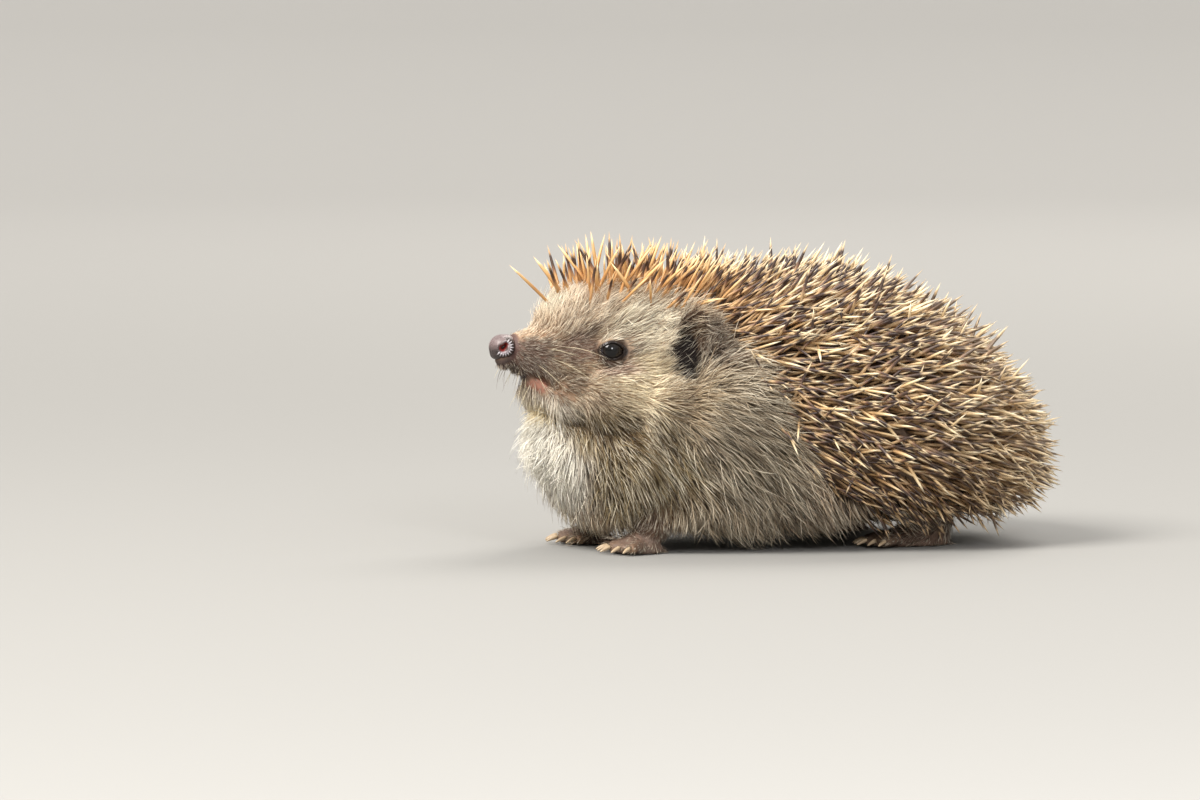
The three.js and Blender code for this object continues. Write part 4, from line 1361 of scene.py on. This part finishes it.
def makeMarkings():
    # the coat's colour by place on the body, in mm, the same on both sides
    group = bpy.data.node_groups.new("coatMarkings", "ShaderNodeTree")
    group.interface.new_socket("Place", in_out="INPUT", socket_type="NodeSocketVector")
    group.interface.new_socket("Colour", in_out="OUTPUT", socket_type="NodeSocketColor")
    at = group.nodes.new("NodeGroupInput").outputs[0]
    shift = vectorCalc(group, "SUBTRACT", noise(group, at, 0.16, 3.0, "Color"), (0.5, 0.5, 0.5))
    shift = vectorCalc(group, "MULTIPLY", shift, (7.0, 7.0, 7.0))
    folded = foldSides(group, vectorCalc(group, "ADD", at, shift))
    colour = layZones(group, folded, paint(coatBase), coatZones, 0.62, 1.15)
    addNode(group, "NodeGroupOutput", {0: colour})
    return group


markings = makeMarkings()


def markingsAt(tree, at):
    return addNode(tree, "ShaderNodeGroup", {"Place": at}, node_tree=markings).outputs[0]


def newMaterial(name):
    material = bpy.data.materials.new(name)
    material.use_nodes = True
    return material, material.node_tree


def setSurface(material, inputs):
    tree = material.node_tree
    for key, value in inputs.items():
        feed(tree, tree.nodes["Principled BSDF"].inputs[key], value)
    return material


def attribute(tree, name, output="Fac"):
    return addNode(tree, "ShaderNodeAttribute", {}, attribute_name=name).outputs[output]


def placeInMillimetres(tree):
    return addNode(tree, "ShaderNodeMapping", {
        "Vector": addNode(tree, "ShaderNodeTexCoord", {}).outputs["Object"],
        "Location": (0, -noseTip / mm, 0), "Scale": (1 / mm, 1 / mm, 1 / mm)}).outputs[0]


furPaint = {
    "under": (138, 112, 92),  # what the hairs' lower half is multiplied by: partly the hairs' own darker roots, partly painted shade deep in the coat
    "behindCheek": (78, 66, 60),  # the same where the coat is streaky behind the cheek, darker still: partly dark underfur, partly painted shade in the gaps between the hairs
    "tip": (255, 247, 226),
}


def makeFurMaterial():
    material, tree = newMaterial("fur")
    along, shade = attribute(tree, "along"), attribute(tree, "shade")
    at = attribute(tree, "rootPlace", "Vector")
    _, back, up = splitPlace(tree, at)
    zone = markingsAt(tree, at)
    # behind the cheek the hairs' lower half is darker still: partly dark underfur, partly painted shade
    # between the hairs
    streakyAndShaded = times(tree, ease(tree, back, 44, 62), ease(tree, up, 66, 50))
    under = blendColour(tree, streakyAndShaded, paint(furPaint["under"]), paint(furPaint["behindCheek"]))
    # darker towards the root and on some strands: the dark strands are the coat's own colour, the darker
    # roots partly painted shade deep in the coat
    bright = times(tree, ease(tree, along, 0.0, 0.5, 0.2, 1.0), ease(tree, shade, 0.05, 0.42, 0.12, 1.0))
    toned = blendColour(tree, bright, multiply(tree, zone, under), zone)
    clumps = noise(tree, at, 0.34, 3.0)
    toned = dim(tree, toned, ease(tree, clumps, 0.32, 0.66, 0.72, 1.06))
    # painted light: hairs of the chest front keep more of their full pale colour, where the front of the
    # chest glows in the light
    chest = times(tree, ease(tree, back, 34, 20), ease(tree, up, 50, 42))
    toned = blendColour(tree, times(tree, chest, 0.55), toned, zone)
    paleHairs = times(tree, ease(tree, clumps, 0.3, 0.6, 0.45, 0.95), ease(tree, shade, 0.5, 0.68))
    tipShare = times(tree, ease(tree, along, 0.25, 0.7), paleHairs)
    tip = blendColour(tree, 0.42, paint(furPaint["tip"]), zone)
    return setSurface(material, {
        "Base Color": blendColour(tree, tipShare, toned, tip), "Roughness": 0.52,
        "Specular IOR Level": 0.35, "Sheen Weight": 0.12, "Sheen Roughness": 0.45})


whiskerPaint = {"pale": (226, 212, 178), "dark": (84, 68, 58), "root": (120, 98, 82)}


def makeWhiskerMaterial():
    material, tree = newMaterial("whisker")
    darkShare = ease(tree, attribute(tree, "shade"), 0.5, 0.56)
    rootShare = ease(tree, attribute(tree, "along"), 0.0, 0.3, 0.5, 0.0)
    colour = layColours(tree, paint(whiskerPaint["pale"]), [
        (darkShare, whiskerPaint["dark"]), (rootShare, whiskerPaint["root"])])
    return setSurface(material, {"Base Color": colour, "Roughness": 0.4})


spinePaint = {  # bands from root to tip, and what the spines of some places are tinted with
    "banded": [
        (0.0, (112, 88, 68)), (0.2, (188, 156, 118)), (0.42, (206, 175, 134)), (0.53, (136, 106, 88)),
        (0.61, (82, 66, 60)), (0.75, (70, 58, 56)), (0.82, (204, 178, 142)), (1.0, (240, 222, 186))],
    "plain": [
        (0.0, (140, 112, 84)), (0.3, (206, 172, 126)), (0.5, (200, 162, 116)), (0.66, (226, 196, 148)),
        (0.85, (240, 220, 182)), (1.0, (246, 234, 206))],
    "crest": (244, 212, 168),
    "rump": (206, 180, 146),
    # painted shade: spines low on the body are darkened towards the floor
    "low": (176, 158, 140),
}


def spineRamp(tree, share, stops):
    ramp = addNode(tree, "ShaderNodeValToRGB", {0: share})
    while len(ramp.color_ramp.elements) < len(stops):
        ramp.color_ramp.elements.new(0.5)
    for element, (position, colour) in zip(ramp.color_ramp.elements, stops):
        element.position = position
        element.color = paint(colour)
    return ramp.outputs[0]


def makeSpineMaterial():
    material, tree = newMaterial("spine")
    along, shade = attribute(tree, "along"), attribute(tree, "shade")
    _, back, up = splitPlace(tree, attribute(tree, "rootPlace", "Vector"))
    shifted = calc(tree, "ADD", along, times(tree, calc(tree, "SUBTRACT", shade, 0.5), 0.16))
    banded, plain = (spineRamp(tree, shifted, spinePaint[kind]) for kind in ("banded", "plain"))
    crest = times(tree, ease(tree, back, 55, 92, 1.0, 0.0), ease(tree, up, 68, 78))
    plainShare = ease(tree, calc(tree, "ADD", shade, times(tree, crest, 0.16)), 0.75, 0.8)
    colour = blendColour(tree, plainShare, banded, plain)
    colour = multiply(tree, colour, paint(spinePaint["crest"]), times(tree, crest, 0.7))
    colour = layColours(tree, colour, [(times(tree, ease(tree, back, 110, 165), 0.26), spinePaint["rump"])])
    # painted shade on the low spines, though not at the rump
    low = times(tree, ease(tree, up, 46, 16), ease(tree, back, 168, 140))
    colour = multiply(tree, colour, paint(spinePaint["low"]), times(tree, low, 0.75))
    return setSurface(material, {"Base Color": colour, "Roughness": 0.42, "Specular IOR Level": 0.4})


skinPaint = {
    "underFur": (190, 172, 160),  # what the markings are multiplied by
    # painted shadow: the skin under the spines is dark so that it reads as the shade between them
    "shadowUnderSpines": (72, 56, 46),
    # painted shade: behind the cheek the skin is darker so that the gaps between the hairs read as shade
    "behindCheek": (104, 86, 72),
    "lidRim": (34, 25, 22),
}


def makeSkinMaterial():
    material, tree = newMaterial("skin")
    at = placeInMillimetres(tree)
    _, back, up = splitPlace(tree, at)
    # where the spines cover the skin it is painted dark, as the shadow under them
    above = calc(tree, "SUBTRACT", up, ease(tree, back, 66, 112, 72, 14))
    spineShadowShare = times(tree, ease(tree, above, -6, 3), ease(tree, back, 18, 26))
    # painted shade behind the cheek, where the skin shows in the gaps between the hairs
    streakyAndShaded = times(tree, ease(tree, back, 50, 66), ease(tree, up, 62, 48))
    rim = attribute(tree, "lidRim")
    colour = multiply(tree, markingsAt(tree, at), paint(skinPaint["underFur"]))
    colour = layColours(tree, colour, [
        (spineShadowShare, skinPaint["shadowUnderSpines"]), (streakyAndShaded, skinPaint["behindCheek"])])
    colour = layZones(tree, foldSides(tree, at), colour, barePatches, 0.6, 1.0)
    colour = layColours(tree, colour, [(ease(tree, rim, 0.05, 0.55), skinPaint["lidRim"])])
    mottle = noise(tree, at, 0.9, 4.0)
    grain = calc(tree, "ADD", cells(tree, at, 1.9), mottle)
    return setSurface(material, {
        "Base Color": dim(tree, colour, ease(tree, mottle, 0.3, 0.7, 0.8, 1.12)),
        "Normal": bump(tree, grain, 0.35, 0.0003),
        "Roughness": ease(tree, rim, 0.3, 0.8, 0.62, 0.22),
        "Specular IOR Level": ease(tree, back, 46, 54, 0.5, 0.12)})


nosePaint = {
    # the pad's paler upper half is partly its own colour, partly a painted sheen where its top catches the
    # light
    "lower": (36, 26, 24), "paleTopAndSheen": (122, 104, 104), "rear": (92, 64, 58), "mottle": (96, 78, 76),
    "cellEdge": (56, 44, 42), "betweenTeeth": (46, 30, 28), "ring": (132, 120, 124), "teeth": (190, 184, 190),
    # deep in the nostril the red lining is painted near black, as painted shade
    "pit": (128, 40, 36), "shadeDeepInPit": (40, 8, 8),
}


def makeNoseMaterial():
    material, tree = newMaterial("noseSkin")
    at = placeInMillimetres(tree)
    _, back, up = splitPlace(tree, at)
    pit, ring, between = (attribute(tree, name) for name in ("pit", "ring", "betweenTeeth"))
    mottle, grain = noise(tree, at, 0.7, 4.0), cells(tree, at, 2.6)
    shares = {
        # paler upper half: partly the pad's own colour, partly painted sheen
        "paleTopAndSheen": ease(tree, calc(tree, "SUBTRACT", up, times(tree, back, 0.1)), 64.2, 67.6),
        "rear": ease(tree, back, 6.4, 7.6),
        "mottle": ease(tree, mottle, 0.35, 0.7, 0.0, 0.3),
        "cellEdge": ease(tree, grain, 0.25, 0.7, 0.0, 0.3),
        "betweenTeeth": ease(tree, between, 0.3, 0.8),
        "ring": ease(tree, ring, 0.25, 0.7),
        "teeth": ease(tree, ring, 1.2, 1.6),
        "pit": ease(tree, pit, 0.12, 0.5),
        # painted shade deep in the nostril
        "shadeDeepInPit": ease(tree, pit, 0.6, 0.95),
    }
    layers = [(share, nosePaint[name]) for name, share in shares.items()]
    return setSurface(material, {
        "Base Color": layColours(tree, paint(nosePaint["lower"]), layers),
        "Normal": bump(tree, calc(tree, "SUBTRACT", 1.0, grain), 0.55, 0.00025),
        "Roughness": ease(tree, mottle, 0.3, 0.7, 0.24, 0.42),
        "Coat Weight": 0.35, "Coat Roughness": 0.2})


# corner: a painted reflection, pale blue-grey, on the front of the ball
eyePaint = {"black": (8, 7, 7), "iris": (32, 25, 20), "corner": (104, 102, 112)}


def makeEyeMaterial():
    material, tree = newMaterial("eyeBlack")
    streaks = ease(tree, noise(tree, placeInMillimetres(tree), 1.4, 3.0), 0.3, 0.7, 0.3, 1.0)
    irisShare = times(tree, ease(tree, attribute(tree, "facing"), 0.93, 0.82), streaks)
    # painted reflection on the front of the ball
    reflectionShare = ease(tree, attribute(tree, "frontward"), 0.66, 0.76)
    colour = layColours(tree, paint(eyePaint["black"]), [
        (irisShare, eyePaint["iris"]), (reflectionShare, eyePaint["corner"])])
    return setSurface(material, {"Base Color": colour, "Roughness": 0.05, "IOR": 1.4})


clawPaint = {"dark": (142, 116, 92), "pale": (204, 184, 152)}


def makeClawMaterial():
    material, tree = newMaterial("clawHorn")
    stretched = vectorCalc(tree, "MULTIPLY", placeInMillimetres(tree), (2.2, 0.5, 2.2))
    fibres = noise(tree, stretched, 1.0, 4.0)
    return setSurface(material, {
        "Base Color": layColours(tree, paint(clawPaint["dark"]), [(fibres, clawPaint["pale"])]),
        "Normal": bump(tree, fibres, 0.2, 0.0002), "Roughness": 0.35})


def dress(pieces, material):
    for piece in pieces:
        piece.data.materials.clear()
        piece.data.materials.append(material)


dress([skinPiece], makeSkinMaterial())
dress([nosePiece], makeNoseMaterial())
dress(eyePieces, makeEyeMaterial())
dress(clawPieces, makeClawMaterial())
dress([whiskerPiece], makeWhiskerMaterial())
for start, material in (("fur", makeFurMaterial()), ("spines", makeSpineMaterial())):
    dress([piece for piece in bpy.context.scene.objects if piece.name.startswith(start)], material)
print("materials ready")

view = {
    "azimuth": 66, "elevation": 4, "distance": 2.8, "millimetresPerPixel": 0.32, "sensor": 36,
    "pictureSize": (1200, 800), "nosePixel": (489, 349), "nosePlace": (0, 0.6, 65.6),
}


def makeCamera():
    azimuth, elevation = math.radians(view["azimuth"]), math.radians(view["elevation"])
    right = Vector((math.cos(azimuth), math.sin(azimuth), 0))
    level = Vector((math.sin(azimuth), -math.cos(azimuth), 0))
    backward = level * math.cos(elevation) + Vector((0, 0, math.sin(elevation)))
    upward = backward.cross(right)
    scale = view["millimetresPerPixel"] * mm
    width, height = view["pictureSize"]
    across = (view["nosePixel"][0] - width / 2) * scale
    down = (view["nosePixel"][1] - height / 2) * scale
    target = place(*view["nosePlace"]) - right * across + upward * down
    camera = bpy.data.objects.new("camera", bpy.data.cameras.new("camera"))
    bpy.context.scene.collection.objects.link(camera)
    camera.data.sensor_width = view["sensor"]
    camera.data.lens = view["sensor"] * view["distance"] / (width * scale)
    camera.data.clip_end = 50
    turn = Matrix((right, upward, backward)).transposed().to_4x4()
    camera.matrix_world = Matrix.Translation(target + backward * view["distance"]) @ turn
    bpy.context.scene.camera = camera


makeCamera()

lights = {  # place and size in metres, power in watts
    "key": {"at": (0.42, -1.50, 1.70), "size": 1.0, "power": 80, "colour": (1, 0.965, 0.91)},
    "fill": {"at": (2.0, 0.3, 0.9), "size": 1.4, "power": 3, "colour": (0.96, 0.98, 1)},
    "back": {"at": (-0.9, 1.2, 1.8), "size": 1.2, "power": 34, "colour": (1, 0.96, 0.9)},
    "catchLight": {"at": (1.27, -0.22, 0.68), "size": 0.3, "power": 6.5, "colour": (1, 1, 1)},
}


studio = {
    "aim": (0, 0, 0.05),
    "world": ((1.0, 0.975, 0.94, 1), 0.85),
    # distance and height of the floor's outline as it turns up into a wall, in metres
    "floor": [(0.02, 0), (2.4, 0), (3.1, 0.08), (3.6, 0.35), (3.9, 0.9), (4.0, 1.7)],
    # the floor is painted darker near the middle and paler far out: painted shade that evens out the lamps'
    # stronger light near the middle
    "floorColours": ((0.27, 0.266, 0.256, 1), (0.55, 0.541, 0.523, 1)),  # near and far
}


def makeStage():
    scene = bpy.context.scene
    for name, lamp in lights.items():
        data = bpy.data.lights.new(name, "AREA")
        data.energy = lamp["power"]
        data.size = lamp["size"]
        data.color = lamp["colour"]
        lampObject = bpy.data.objects.new(name, data)
        lampObject.location = lamp["at"]
        aim = Vector(studio["aim"]) - Vector(lamp["at"])
        lampObject.rotation_euler = aim.to_track_quat("-Z", "Y").to_euler()
        scene.collection.objects.link(lampObject)
    world = bpy.data.worlds.new("studio")
    world.use_nodes = True
    for key, value in zip(("Color", "Strength"), studio["world"]):
        world.node_tree.nodes["Background"].inputs[key].default_value = value
    scene.world = world
    scene.view_settings.view_transform = "Standard"
    bm = bmesh.new()
    rim = [bm.verts.new((away, 0, rise)) for away, rise in studio["floor"]]
    edges = [bm.edges.new(pair) for pair in zip(rim, rim[1:])]
    bmesh.ops.spin(bm, geom=rim + edges, axis=(0, 0, 1), cent=(0, 0, 0), steps=72, angle=2 * math.pi,
                   use_merge=True, use_normal_flip=True)
    bmesh.ops.holes_fill(bm, edges=[edge for edge in bm.edges if edge.is_boundary and max(
        vert.co.length for vert in edge.verts) < 0.1])
    bmesh.ops.recalc_face_normals(bm, faces=bm.faces)
    floor = newPiece("floor", bm)
    floor.data.shade_smooth()
    material, tree = newMaterial("paleFloor")
    away = distance(tree, addNode(tree, "ShaderNodeTexCoord", {}).outputs["Object"])
    # painted shade near the middle of the floor, where the lamps light it most
    colour = blendColour(tree, ease(tree, away, 0.4, 3.2), *studio["floorColours"])
    dress([floor], setSurface(material, {"Base Color": colour, "Roughness": 0.8}))


makeStage()
print("camera and studio ready")
